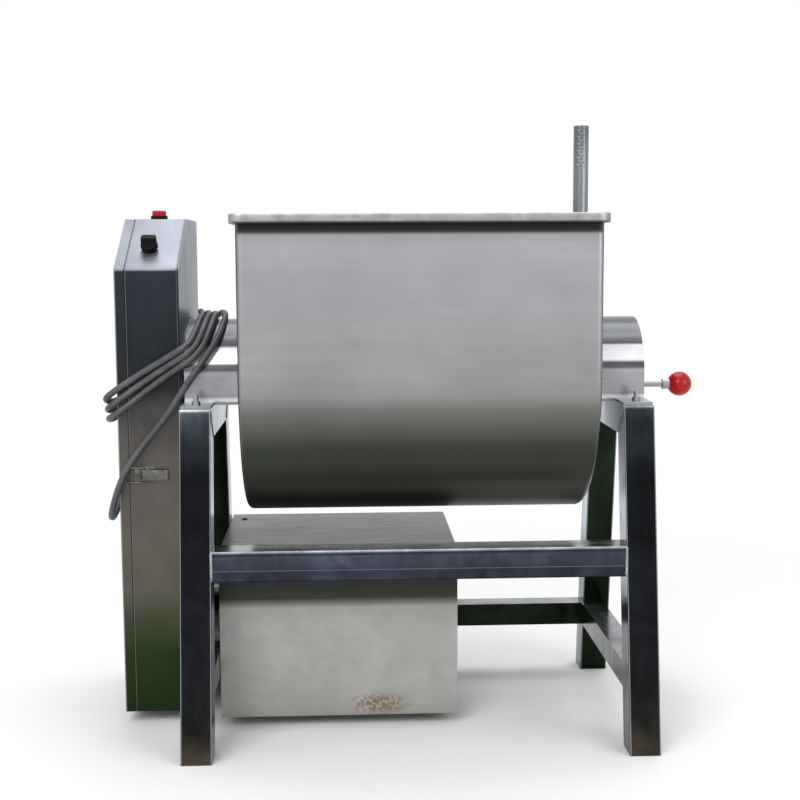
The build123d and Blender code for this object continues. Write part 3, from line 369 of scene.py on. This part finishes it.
# %% The metal recipe
def metal(name, stops, side=None, top=None, back=None, rear=None, stretch=(6, 260, 260),
          rough=(0.28, 0.46), metallic=0.6, side_metallic=None, smudge=(7.0, 0.82, 1.14),
          bump=0.05, speck=None, speck_colour=(70, 60, 45), streaks=0.05, lines=(), stain=None):
    """Brushed metal whose colour follows height, facing, grain, smudges and speckle. A line is an
    axis, a place on it, a half width and a colour. Rear is the colour that the forward-looking
    faces have behind a given Y. Stain is a middle's X and Z, two half sizes and a colour. Side may
    be one colour or stops, and top may be the word ramp, for the front's own colours."""
    material, tree, shader = new_material(name)
    where = coordinates(tree)
    position = split(tree, where)
    # The ramp and the colours by facing are painted reflections, light and shade.
    colour = ramp(tree, position["Z"], stops)
    if rear:
        start, rear_colour = rear
        blend = 0.05
        behind = remap(tree, position["Y"], start, start + blend)
        colour = mix(tree, behind, colour, srgb(*rear_colour))
    if side:
        beside = ramp(tree, position["Z"], side) if isinstance(side, list) else srgb(*side)
        colour = use(tree, facing_group, Front=colour, Back=srgb(*back) if back else colour,
                     Side=beside, Top=colour if top == "ramp" else srgb(*(top or side)))
    grain = use(tree, grain_group, Stretch=stretch)
    streak = remap(tree, grain, noise_low, noise_high, 1 - streaks, 1 + streaks)
    colour = times(tree, colour, streak)
    colour = times(tree, colour,
                   use(tree, smudge_group, Size=smudge[0], Low=smudge[1], High=smudge[2]))
    if speck:
        spots = use(tree, speck_group, Scale=speck[0], Edge=speck[1])
        colour = mix(tree, spots, colour, srgb(*speck_colour))
    if stain:
        colour = mix(tree, stain_mask(tree, where, *stain[:4]), colour, srgb(*stain[4]))
    # Lines are dark seams and edges, or painted highlights along folded edges and corners.
    for axis, at, half_width, line_colour in lines:
        near = line_mask(tree, position[axis], at, half_width)
        colour = mix(tree, near, colour, srgb(*line_colour))
    tree.links.new(colour, shader.inputs["Base Color"])
    gloss = remap(tree, grain, noise_low, noise_high, *rough)
    tree.links.new(gloss, shader.inputs["Roughness"])
    relief = link(tree, "ShaderNodeBump", None, Height=grain, Strength=bump, Distance=0.001)
    tree.links.new(relief.outputs[0], shader.inputs["Normal"])
    shader.inputs["Metallic"].default_value = metallic
    if side_metallic is not None:
        face, flank = [(m, m, m, 1) for m in (metallic, side_metallic)]
        shares = use(tree, facing_group, Front=face, Back=face, Side=flank, Top=face)
        tree.links.new(shares, shader.inputs["Metallic"])
    return material


looks = {}
print("metal recipe ready")

# %% [markdown]
# The trough is brushed sheet. Its colour is a painted reflection: bright at the top and darker
# down the belly, where it would mirror the ground and the motor box. Under the rim it has a
# painted dark band, the rim's own shadow and reflection. Its ends, top and back have painted
# shades of their own, and thin dark lines run down its two ends. The rim is a folded edge, painted
# dark below and lighter on its top as a painted highlight.

# %% Trough and rim
looks["trough_sheet"] = metal(
    "trough_steel",
    [(0.44, (60, 58, 54)), (0.449, (14, 16, 13)), (0.485, (20, 22, 18)), (0.515, (66, 69, 60)),
     (0.585, (52, 57, 47)), (0.605, (54, 59, 49)), (0.628, (74, 76, 68)), (0.652, (90, 91, 87)),
     (0.676, (106, 106, 103)), (0.705, (138, 138, 138)), (0.73, (144, 144, 146)),
     (0.84, (150, 150, 153)), (0.985, (155, 155, 160)), (1.004, (146, 146, 149)),
     (1.0095, (62, 62, 64)), (1.013, (30, 30, 32)), (1.03, (26, 26, 28)), (1.05, (60, 60, 58))],
    side=(112, 114, 118), top=(150, 150, 152), back=(142, 142, 145), rear=(0.0, (146, 146, 149)),
    metallic=0.75, smudge=(5.0, 0.9, 1.08), stretch=(4, 60, 90), bump=0.02, streaks=0.02,
    speck=(75.0, 0.86), speck_colour=(110, 109, 108), rough=(0.37, 0.43),
    lines=[("X", frame_x + s * 0.3404, 0.0012, (58, 60, 62)) for s in (-1, 1)])
looks["trough_rim"] = metal(
    "rim_steel",
    [(1.025, (30, 32, 30)), (1.0285, (70, 70, 70)), (1.030, (146, 146, 146)),
     (1.038, (160, 160, 160)), (1.044, (186, 186, 186))],
    side=(140, 141, 142), top=(172, 173, 174), smudge=(26.0, 0.74, 1.14), stretch=(24, 200, 300),
    streaks=0.06)
print("trough and rim:", len(looks), "metals")

# %% [markdown]
# The frame is polished tube with painted reflections: dark ground on its front, green ground low
# on its sides and sky above it, and the rear legs' fronts painted green. A painted thin bright
# highlight runs along its corners and the tops of the legs. The front beam lies level, so its
# painted bands run up its height, with painted highlight lines across its front and its top edge.

# %% Frame and front beam
# A painted highlight along the corners of the tubes.
corner_shine = (150, 156, 166)
looks["frame_tube"] = metal(
    "frame_steel",
    [(0.0, (54, 47, 38)), (0.035, (42, 38, 32)), (0.08, (23, 25, 26)), (0.2, (20, 22, 26)),
     (0.34, (20, 22, 26)), (0.45, (14, 16, 19)), (0.55, (15, 17, 20)), (0.60, (28, 32, 36)),
     (0.645, (40, 44, 50)), (0.667, (58, 64, 70)), (0.6705, (178, 183, 190))],
    side=[(0.0, (18, 30, 17)), (0.29, (18, 30, 18)), (0.325, (84, 90, 94)), (0.36, (128, 134, 140)),
          (0.66, (142, 148, 154))],
    top=(112, 115, 119), back=(88, 93, 100), rear=(0.03, (16, 27, 14)), stretch=(60, 60, 5),
    rough=(0.12, 0.28), metallic=0.88, smudge=(9.0, 0.5, 2.1), streaks=0.12,
    lines=[("X", frame_x + s * x, 0.0009, corner_shine) for s in (-1, 1) for x in (0.4045, 0.4618)])
beam_look = metal(
    "beam_steel",
    [(0.342, (18, 20, 26)), (0.346, (42, 47, 57)), (0.358, (38, 43, 52)), (0.372, (50, 55, 66)),
     (0.390, (58, 63, 75)), (0.396, (28, 31, 38)), (0.3985, (112, 118, 128)),
     (0.402, (186, 191, 198))],
    side=(70, 80, 66), top=(118, 120, 124), back=(84, 90, 100), stretch=(5, 60, 60),
    rough=(0.12, 0.28), metallic=0.85, smudge=(14.0, 0.55, 1.9), streaks=0.1,
    lines=[("Z", 0.3635, 0.0008, (104, 110, 120))])
print("frame and beam:", len(looks) + 1, "metals")

# %% [markdown]
# The cabinet's front is a painted reflection: dark at the top, warm in the middle and green near
# the ground, as a mirror would show it, and the panel above slopes to the sky, with a painted
# highlight along the fold between them. Its sides, top and back have painted shades of their own.
# Dark lines mark the side cover's seam and a folded corner, and light lines are painted highlights
# along the folded corners and the seam. The bearing covers are half round, so their painted bands
# of reflection go up over the curve.

# %% Cabinet and bearing covers
# Dark lines at the side cover's seam and a folded corner; light lines are painted highlights.
cabinet_lines = [
    ("X", frame_x - 0.583, 0.0012, (22, 22, 24)), ("X", frame_x - 0.4765, 0.0011, (24, 26, 30)),
    ("X", frame_x - 0.6028, 0.0012, (140, 144, 150)),
    ("X", frame_x - 0.5812, 0.0009, (96, 100, 106)), ("X", frame_x - 0.4790, 0.0010, (84, 88, 94))]
looks["cabinet_sheet"] = metal(
    "cabinet_steel",
    [(0.02, (22, 40, 11)), (0.1, (29, 47, 17)), (0.15, (33, 50, 22)), (0.22, (60, 64, 46)),
     (0.28, (84, 82, 73)), (0.42, (92, 87, 80)), (0.56, (92, 88, 84)), (0.66, (72, 70, 69)),
     (0.70, (40, 40, 42)), (0.78, (34, 38, 43)), (0.9375, (38, 43, 51)), (0.9395, (150, 154, 162)),
     (0.945, (160, 164, 172)), (0.950, (118, 123, 135)), (0.98, (112, 117, 129)),
     (1.01, (118, 124, 135)), (1.045, (112, 121, 131))],
    side=(124, 133, 147), top=(132, 136, 146), back=(112, 117, 127), stretch=(90, 90, 6),
    smudge=(9.0, 0.84, 1.18), streaks=0.04, metallic=0.8, side_metallic=0.1, speck=(120.0, 0.84),
    speck_colour=(56, 54, 52), lines=cabinet_lines)
looks["cover_sheet"] = metal(
    "cover_steel",
    [(0.678, (226, 228, 232)), (0.684, (214, 216, 222)), (0.688, (156, 157, 160)),
     (0.736, (160, 161, 164)), (0.741, (84, 86, 92)), (0.751, (80, 82, 88)),
     (0.756, (236, 237, 240)), (0.784, (232, 233, 236)), (0.788, (92, 93, 100)),
     (0.804, (100, 101, 108)), (0.810, (84, 86, 92)), (0.838, (96, 98, 102))],
    side=(112, 115, 122), top="ramp", stretch=(9, 300, 300), rough=(0.16, 0.3), metallic=0.5,
    smudge=(12.0, 0.86, 1.1))
print("cabinet and covers:", len(looks) + 1, "metals")

# %% [markdown]
# The motor box is matt sheet with a worn patch low on its front. Up its front it is painted a
# little darker at the foot, with a dark painted reflection of the beam under its top edge, and its
# top is painted darker as shade.

# %% Motor box
looks["box_sheet"] = metal(
    "box_steel",
    [(0.02, (146, 145, 140)), (0.05, (158, 158, 154)), (0.2, (165, 165, 162)),
     (0.252, (160, 160, 156)), (0.262, (110, 110, 102)), (0.272, (40, 43, 34)),
     (0.30, (26, 29, 21)), (0.371, (32, 36, 30))],
    side=(150, 150, 146), top=(104, 105, 107), back=(150, 150, 147), stretch=(12, 120, 160),
    smudge=(16.0, 0.87, 1.05), metallic=0.35, speck=(150.0, 0.83), speck_colour=(108, 106, 98),
    streaks=0.03, stain=(-0.063, 0.047, 0.075, 0.026, (122, 96, 62)))
print("motor box:", len(looks) + 1, "metals")

# %% [markdown]
# The small and hidden parts have their own metals: bare machined steel, the lever's blue-grey tube,
# oiled chain, plated latches, painted castings, the motor's enamel, bronze bushes and weld metal.
# Their colours change up their heights as painted light and shade, and the machined steel and the
# latches are painted lighter on their tops.

# %% Small and hidden metals
looks["bare_steel"] = metal("machined_steel", [(0.0, (120, 122, 124)), (1.1, (168, 170, 172))],
                            side=(132, 134, 138), top=(184, 186, 188), stretch=(200, 200, 200))
looks["grip_steel"] = metal(
    "lever_steel",
    [(0.79, (88, 92, 98)), (1.0, (108, 115, 120)), (1.16, (118, 126, 130)), (1.25, (98, 104, 108))],
    stretch=(140, 140, 10), rough=(0.18, 0.34), metallic=0.7, smudge=(16.0, 0.8, 1.25))
looks["chain_steel"] = metal("oiled_steel", [(0.2, (62, 58, 52)), (0.8, (80, 76, 70))],
                             stretch=(160, 160, 160))
looks["latch_steel"] = metal("plated_steel", [(0.5, (78, 76, 70)), (0.545, (132, 130, 124))],
                             side=(140, 140, 136), top=(190, 190, 186), stretch=(260, 260, 260),
                             rough=(0.15, 0.3), metallic=0.75, smudge=(70.0, 0.45, 1.2), bump=0.3)
looks["cast"] = metal("painted_casting", [(0.6, (64, 68, 70)), (0.8, (84, 88, 90))],
                      stretch=(150, 150, 150), rough=(0.5, 0.7), metallic=0.1, bump=0.25)
looks["motor_paint"] = metal("machine_enamel", [(0.1, (38, 74, 112)), (0.4, (52, 96, 140))],
                             stretch=(120, 120, 120), rough=(0.3, 0.42), metallic=0.0, bump=0.12)
looks["bronze"] = metal("bronze", [(0.68, (150, 108, 52)), (0.8, (186, 140, 74))],
                        stretch=(200, 200, 200), metallic=0.9)
weld_look = metal("weld_steel", [(0.0, (130, 132, 136)), (0.7, (170, 172, 178))],
                  stretch=(300, 300, 300), smudge=(40.0, 0.6, 1.3), bump=0.2)
print("all:", len(looks) + 2, "metals")

# %% [markdown]
# Plastics and rubber share one plain recipe, with its own fine relief, colour variation and dust.

# %% Plastics and rubber
def moulded(name, colour, dusty, rough, scale=240.0, bump=0.12, coat=0.0, shine=0.5):
    """Moulded plastic or rubber: two near colours mixed by noise, with a fine relief."""
    material, tree, shader = new_material(name)
    where = coordinates(tree)
    fine = noise(tree, where, scale, 4.0)
    dust = remap(tree, noise(tree, where, 22.0, 3.0), 0.35, 0.7)
    tree.links.new(mix(tree, dust, srgb(*colour), srgb(*dusty)), shader.inputs["Base Color"])
    tree.links.new(remap(tree, fine, 0.0, 1.0, rough - 0.1, rough + 0.12),
                   shader.inputs["Roughness"])
    relief = link(tree, "ShaderNodeBump", None, Height=fine, Strength=bump, Distance=0.0006)
    tree.links.new(relief.outputs[0], shader.inputs["Normal"])
    shader.inputs["Coat Weight"].default_value = coat
    shader.inputs["Specular IOR Level"].default_value = shine
    return material


looks["black_plastic"] = moulded("black_moulding", (5, 5, 7), (12, 12, 14), 0.45, shine=0.12)
looks["seal_rubber"] = moulded("seal_rubber", (18, 18, 18), (34, 33, 32), 0.7)
looks["red_cap"] = moulded("red_cap", (176, 16, 26), (152, 12, 20), 0.36, coat=0.1, shine=0.2)
looks["red_ball"] = moulded("red_ball", (170, 8, 20), (150, 6, 16), 0.28, scale=60.0, bump=0.05,
                            coat=0.12, shine=0.25)
looks["cable_rubber"] = moulded("cable_rubber", (62, 63, 66), (86, 87, 90), 0.46, scale=420.0,
                                bump=0.3)
cable.data.materials.append(looks["cable_rubber"])
print("materials:", len(bpy.data.materials))

# %% [markdown]
# Every node of the model names a material slot, and the look of that slot goes on it. The front
# beam is the one node with a look of its own.

# %% Dress the nodes
special = {"front_beam": beam_look}
for row in frame["record"]["subparts"]:
    solid = nodes[row["node"]]
    solid.data.materials.clear()
    solid.data.materials.append(special.get(row["node"], looks[row["material_slot"]]))

# %% [markdown]
# New pieces are surfaces worked out with numpy: an array of rings, each ring a row of points, and
# neighbouring rings joined into quads. A shape that closes up on itself needs no end caps.

# %% Surfaces from rings
def circle(count):
    """Angles, evenly spaced round a circle."""
    return np.linspace(0, 2 * np.pi, count, endpoint=False)


def unit(vector):
    """The vector at length one."""
    return np.array(vector, float) / np.linalg.norm(vector)


def ring_surface(name, rings, body, look, closed=False):
    """Mesh from an array of shape (rings, points, 3). Point j of a ring is joined to point j + 1,
    counted round, and both to the next ring. The ends are capped unless the rings close up."""
    count, size = rings.shape[:2]
    ring = np.arange(count if closed else count - 1)[:, None]
    here, after = ring * size, (ring + 1) % count * size
    j = np.arange(size)
    k = (j + 1) % size
    faces = np.stack([here + j, here + k, after + k, after + j], -1).reshape(-1, 4).tolist()
    if not closed:
        faces += [j[::-1].tolist(), ((count - 1) * size + j).tolist()]
    mesh = bpy.data.meshes.new(name)
    mesh.from_pydata(rings.reshape(-1, 3).tolist(), [], faces)
    mesh.validate()
    corners = np.empty(len(mesh.polygons), np.int32)
    mesh.polygons.foreach_get("loop_total", corners)
    mesh.polygons.foreach_set("use_smooth", corners == 4)
    piece = bpy.data.objects.new(name, mesh)
    bpy.context.scene.collection.objects.link(piece)
    mesh.materials.append(look)
    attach(piece, body)
    return piece


print("rings of", len(circle(144)), "points are the finest")

# %% [markdown]
# The tilt lever is a steel tube with a dimpled grip: rows of small round hollows, each row shifted
# by half a step. Bump would show them only inside the outline, so the surface itself goes in. The
# lip at the top is rounded, and the tube is open there, down to a floor well out of sight.

# %% The tilt lever with its dimpled grip
def lever_rings():
    """Point = (r cos a, r sin a, z). Up the outside, r is the tube's radius less a bell-shaped
    hollow at each dimple. Over the lip, r and z follow half a circle. Inside, r is less by the
    wall."""
    low, grip_low, high = 0.790, 1.15, 1.249
    outer, wall = 0.01675, 0.003
    rows, dimples, row_gap, below_lip = 12, 9, 0.0075, 0.008
    dimple_depth, dimple_size = 0.0009, 0.0017
    inside_depths = 0.03, 0.12
    stands_at = frame_x + 0.385, 0.200, 0
    around = circle(144)
    outside_z = np.concatenate([np.linspace(low, grip_low, 20),
                                np.linspace(grip_low, high - wall / 2, 132)[1:]])
    row = np.arange(rows)[:, None, None]
    row_z = high - below_lip - row_gap * row
    step = 2 * np.pi / dimples
    beside = ((around + (row % 2 + 1) * step / 2) % step - step / 2) * outer
    away = (outside_z[:, None] - row_z) ** 2 + beside ** 2
    outside = outer - (dimple_depth * np.exp(-away / dimple_size ** 2)).sum(0)
    bend = np.linspace(0, np.pi, 9)[1:]
    rest = np.append(outer - wall / 2 + wall / 2 * np.cos(bend), [outer - wall] * 2)
    radius = np.concatenate([outside, np.repeat(rest[:, None], len(around), 1)])
    z = np.concatenate([outside_z, high - wall / 2 + wall / 2 * np.sin(bend),
                        high - np.array(inside_depths)])
    z = np.broadcast_to(z[:, None], radius.shape)
    rings = np.stack([radius * np.cos(around), radius * np.sin(around), z], -1)
    return rings + np.array(stands_at)


lever = ring_surface("tilt_lever_grip", lever_rings(), "trough", looks["grip_steel"])
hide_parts("tilt_lever")
print("lever", len(lever.data.polygons), "faces")

# %% [markdown]
# Weld seams are beads that follow the joints of the frame. A bead is a round string with the
# ripples that the welder's hand leaves, sunk by half into the corner that it fills.

# %% One weld bead
def bead_rings(start, end, radius):
    """Point = start + s along the seam + size (cos a across + sin a square to both). The size
    swells every 3 mm, and tapers over the last 4 mm as the square root of what is left."""
    start, end = np.array(start, float), np.array(end, float)
    length = np.linalg.norm(end - start)
    ahead = unit(end - start)
    across = unit(np.cross(ahead, [0.36, 0.48, 0.8]))
    third = np.cross(ahead, across)
    ring_gap, ripple, swell, taper_length, blunt = 0.00075, 0.003, 0.14, 0.004, 0.0006
    s = np.linspace(0, length, int(length / ring_gap))[:, None, None]
    taper = np.minimum(1, (np.minimum(s, length - s) + blunt) / taper_length)
    size = radius * (1 - swell + swell * np.cos(2 * np.pi * s / ripple)) * np.sqrt(taper)
    around = circle(10)[:, None]
    return start + s * ahead + size * (np.cos(around) * across + np.sin(around) * third)


print("a 60 mm bead has", len(bead_rings((0, 0, 0), (0, 0, 0.06), 0.002)), "rings")

# %% [markdown]
# The seams down the front of the front beam's ends are the thick ones in the photo. The thin ones
# lie across that beam's top, in the rear corners, where stretcher, leg and rear beam meet, and on
# the mitres between the legs and the top rails.

# %% Weld seams
thick, thin, proud = 0.0032, 0.0019, 0.0012
beam_low, beam_high, beam_front, beam_rear = 0.343, 0.401, -0.238, -0.18
beam_top, stretcher_top = 0.402, 0.164
corner_front, corner_rear = 0.2018, 0.2508
tube, rail_end, foot_spread = 0.06, 0.193, 0.103
mitre_y, mitre_low, mitre_high = 0.1925, 0.6125, 0.6714
lean = math.atan(foot_spread / leg_top)
mitre_in = rail_end - tube * math.tan(math.pi / 4 - lean / 2)
seams = []
for side in (-1, 1):
    inner, outer = frame_x + side * leg_inner, frame_x + side * leg_outer
    seams.append(((inner, beam_front - proud, beam_low), (inner, beam_front - proud, beam_high),
                  thick))
    seams.append(((inner, beam_front, beam_top), (inner, beam_rear, beam_top), thin))
    seams.append(((inner, corner_front, stretcher_top), (inner, corner_rear, stretcher_top), thin))
    for end in (-1, 1):
        for x in (inner, outer - side * proud):
            seams.append(((x, end * mitre_y, mitre_high), (x, end * mitre_in, mitre_low), thin))
for number, (start, end, radius) in enumerate(seams, 1):
    ring_surface(f"weld_seam_{number}", bead_rings(start, end, radius), "frame", weld_look)
print(len(seams), "weld seams")

# %% [markdown]
# The selector's knob is a round skirt with a wide bar across it, moulded in one with soft edges. A
# solid's fillets would be hard and costly there. As rings up from the panel, it is one table: each
# ring is a superellipse, which is a circle at exponent 2 and nearly a rectangle at 6.

# %% The selector's grip
def grip_rings():
    """Point = base + height out + size (half_u cos a sideways + half_v sin a up the slope), where
    size is (|cos a|^power + |sin a|^power)^(-1 / power). The table is in millimetres."""
    table = np.array([
        (6.3, 17.0, 17.0, 2), (7.0, 17.6, 17.6, 2), (12.0, 17.6, 17.6, 2), (13.2, 16.6, 16.6, 2.2),
        (13.6, 16.0, 10.5, 5), (14.4, 15.6, 9.0, 6), (29.5, 15.4, 8.4, 6), (31.0, 14.6, 7.4, 5),
        (31.6, 12.5, 5.6, 4)])
    height, half_u, half_v, power = table.T[:, :, None]
    around = circle(72)
    c, s = np.cos(around), np.sin(around)
    size = 0.001 * (np.abs(c) ** power + np.abs(s) ** power) ** (-1 / power)
    panel_foot, panel_run, up_the_panel = (frame_x - 0.539, -0.060, 0.943), (0, 0.159, 0.102), 0.070
    slope = unit(panel_run)
    out = np.array((0, -slope[2], slope[1]))
    base = np.array(panel_foot) + up_the_panel * slope
    sideways = np.array((1, 0, 0))
    return (base + (0.001 * height)[..., None] * out + (size * half_u * c)[..., None] * sideways
            + (size * half_v * s)[..., None] * slope)


grip = ring_surface("selector_grip", grip_rings(), "selector", looks["black_plastic"])
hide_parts("selector_knob")
print("selector's grip", len(grip.data.polygons), "faces")

# %% [markdown]
# A flat strap holds the cable's turns together behind the cabinet. It goes round them in a rounded
# rectangle, and its section is a thin bar.

# %% Cable strap
strap_at = 21


def strap_rings(centre, ahead, outward, half_width, half_height, width):
    """Point = centre + across cos a (q half_width + lift) + outward sin a (q half_height + lift)
    + half the width ahead, back and forth. q is (|cos a|^6 + |sin a|^6)^(-1 / 6)."""
    ahead, outward = unit(ahead), unit(outward)
    across = unit(np.cross(ahead, outward))
    around = circle(64)[:, None, None]
    c, s = np.cos(around), np.sin(around)
    q = (np.abs(c) ** 6 + np.abs(s) ** 6) ** (-1 / 6)
    thickness = 0.0012
    section = np.array([(-1, 0), (1, 0), (1, thickness), (-1, thickness)])
    side, lift = section.T[..., None]
    return (np.array(centre) + across * c * (q * half_width + lift)
            + outward * s * (q * half_height + lift) + ahead * side * width / 2)


centre, outward = stations[strap_at]
strap = ring_surface(
    "cable_strap", strap_rings(placed(centre), course(strap_at), outward, 0.0205, 0.0072, 0.006),
    "frame", looks["black_plastic"], closed=True)
print("strap", len(strap.data.polygons), "faces")

# %% [markdown]
# A small hole in the motor box's top has a black ring round it, which is a torus lying flat.

# %% Box grommet
def grommet_rings(centre, radius, thickness):
    """Point = centre + (radius + thickness cos b) outwards + thickness sin b upwards, with outwards
    going round."""
    around, b = circle(48)[:, None, None], circle(16)[:, None]
    outwards = np.concatenate([np.cos(around), np.sin(around), np.zeros_like(around)], -1)
    return (np.array(centre) + outwards * (radius + thickness * np.cos(b))
            + thickness * np.sin(b) * np.array((0, 0, 1)))


hole_at, hole_radius, ring_thickness = (-0.358, 0.222, 0.3712), 0.0045, 0.0018
grommet = ring_surface("box_grommet", grommet_rings(hole_at, hole_radius, ring_thickness), "frame",
                       looks["black_plastic"], closed=True)
print("grommet", len(grommet.data.polygons), "faces")

# %% [markdown]
# The stage is a pale floor. It keeps the machine's shadow, and fades to the white of the sky away
# from it. A floor can only be that white by light or by glow. Glow is added where the camera or a
# mirror looks at it, so that it doesn't light the machine.

# %% Floor
def seen_directly(tree):
    """One for rays that show the stage itself: the camera's, and mirrored or refracted ones."""
    path = link(tree, "ShaderNodeLightPath").outputs
    either = maths(tree, "ADD", path["Is Camera Ray"], path["Is Glossy Ray"])
    return link(tree, "ShaderNodeMath", {"operation": "ADD", "use_clamp": True}, i0=either,
                i1=path["Is Transmission Ray"]).outputs[0]


reach = 30
floor_mesh = bpy.data.meshes.new("floor")
floor_mesh.from_pydata([(-reach, -reach, 0), (reach, -reach, 0), (reach, reach, 0),
                        (-reach, reach, 0)], [], [(0, 1, 2, 3)])
floor = bpy.data.objects.new("floor", floor_mesh)
bpy.context.scene.collection.objects.link(floor)
pale, tree, paint = new_material("pale_floor")
paint.inputs["Base Color"].default_value = (0.93, 0.93, 0.93, 1)
paint.inputs["Roughness"].default_value = 0.9
glow = link(tree, "ShaderNodeEmission", None, Strength=1.0)
spot = link(tree, "ShaderNodeVectorMath", {"operation": "LENGTH"}, i0=coordinates(tree))
shadow_reach, white_from = 0.75, 2.1
far = link(tree, "ShaderNodeMapRange", {"interpolation_type": "SMOOTHSTEP"},
           Value=spot.outputs["Value"], From_Min=shadow_reach, From_Max=white_from)
white = maths(tree, "MULTIPLY", far.outputs[0], seen_directly(tree))
blend = link(tree, "ShaderNodeMixShader", None, i0=white, i1=paint.outputs[0], i2=glow.outputs[0])
tree.links.new(blend.outputs[0], tree.nodes["Material Output"].inputs["Surface"])
floor_mesh.materials.append(pale)
print("floor fades to white from", shadow_reach, "to", white_from, "m")

# %% [markdown]
# The sky lights the machine softly from all round, and is white where it is seen. Three large
# lamps give the shapes their shade: the key from the left front, a weak fill from the right, and
# one above.

# %% Sky and lamps
sky = bpy.data.worlds.new("sky")
bpy.context.scene.world = sky
sky.use_nodes = True
tree = sky.node_tree
backdrop = tree.nodes["Background"]
backdrop.inputs["Color"].default_value = (1, 1, 1, 1)
tree.links.new(remap(tree, seen_directly(tree), 0.0, 1.0, 0.62, 1.0), backdrop.inputs["Strength"])
aim = Vector((0, 0, 0.6))
lamps = {"key": ((-1.8, -3.2, 3.0), 2.4, 90), "fill": ((2.6, -2.6, 1.8), 2.0, 34),
         "top": ((0.2, 0.6, 3.6), 2.6, 60)}
for name, (at, size, power) in lamps.items():
    light = bpy.data.objects.new(name, bpy.data.lights.new(name, "AREA"))
    light.data.size = size
    light.data.energy = power
    light.location = at
    light.rotation_euler = (aim - Vector(at)).to_track_quat("-Z", "Y").to_euler()
    bpy.context.scene.collection.objects.link(light)
bpy.context.scene.view_settings.view_transform = "Standard"
print("lamps", list(lamps))
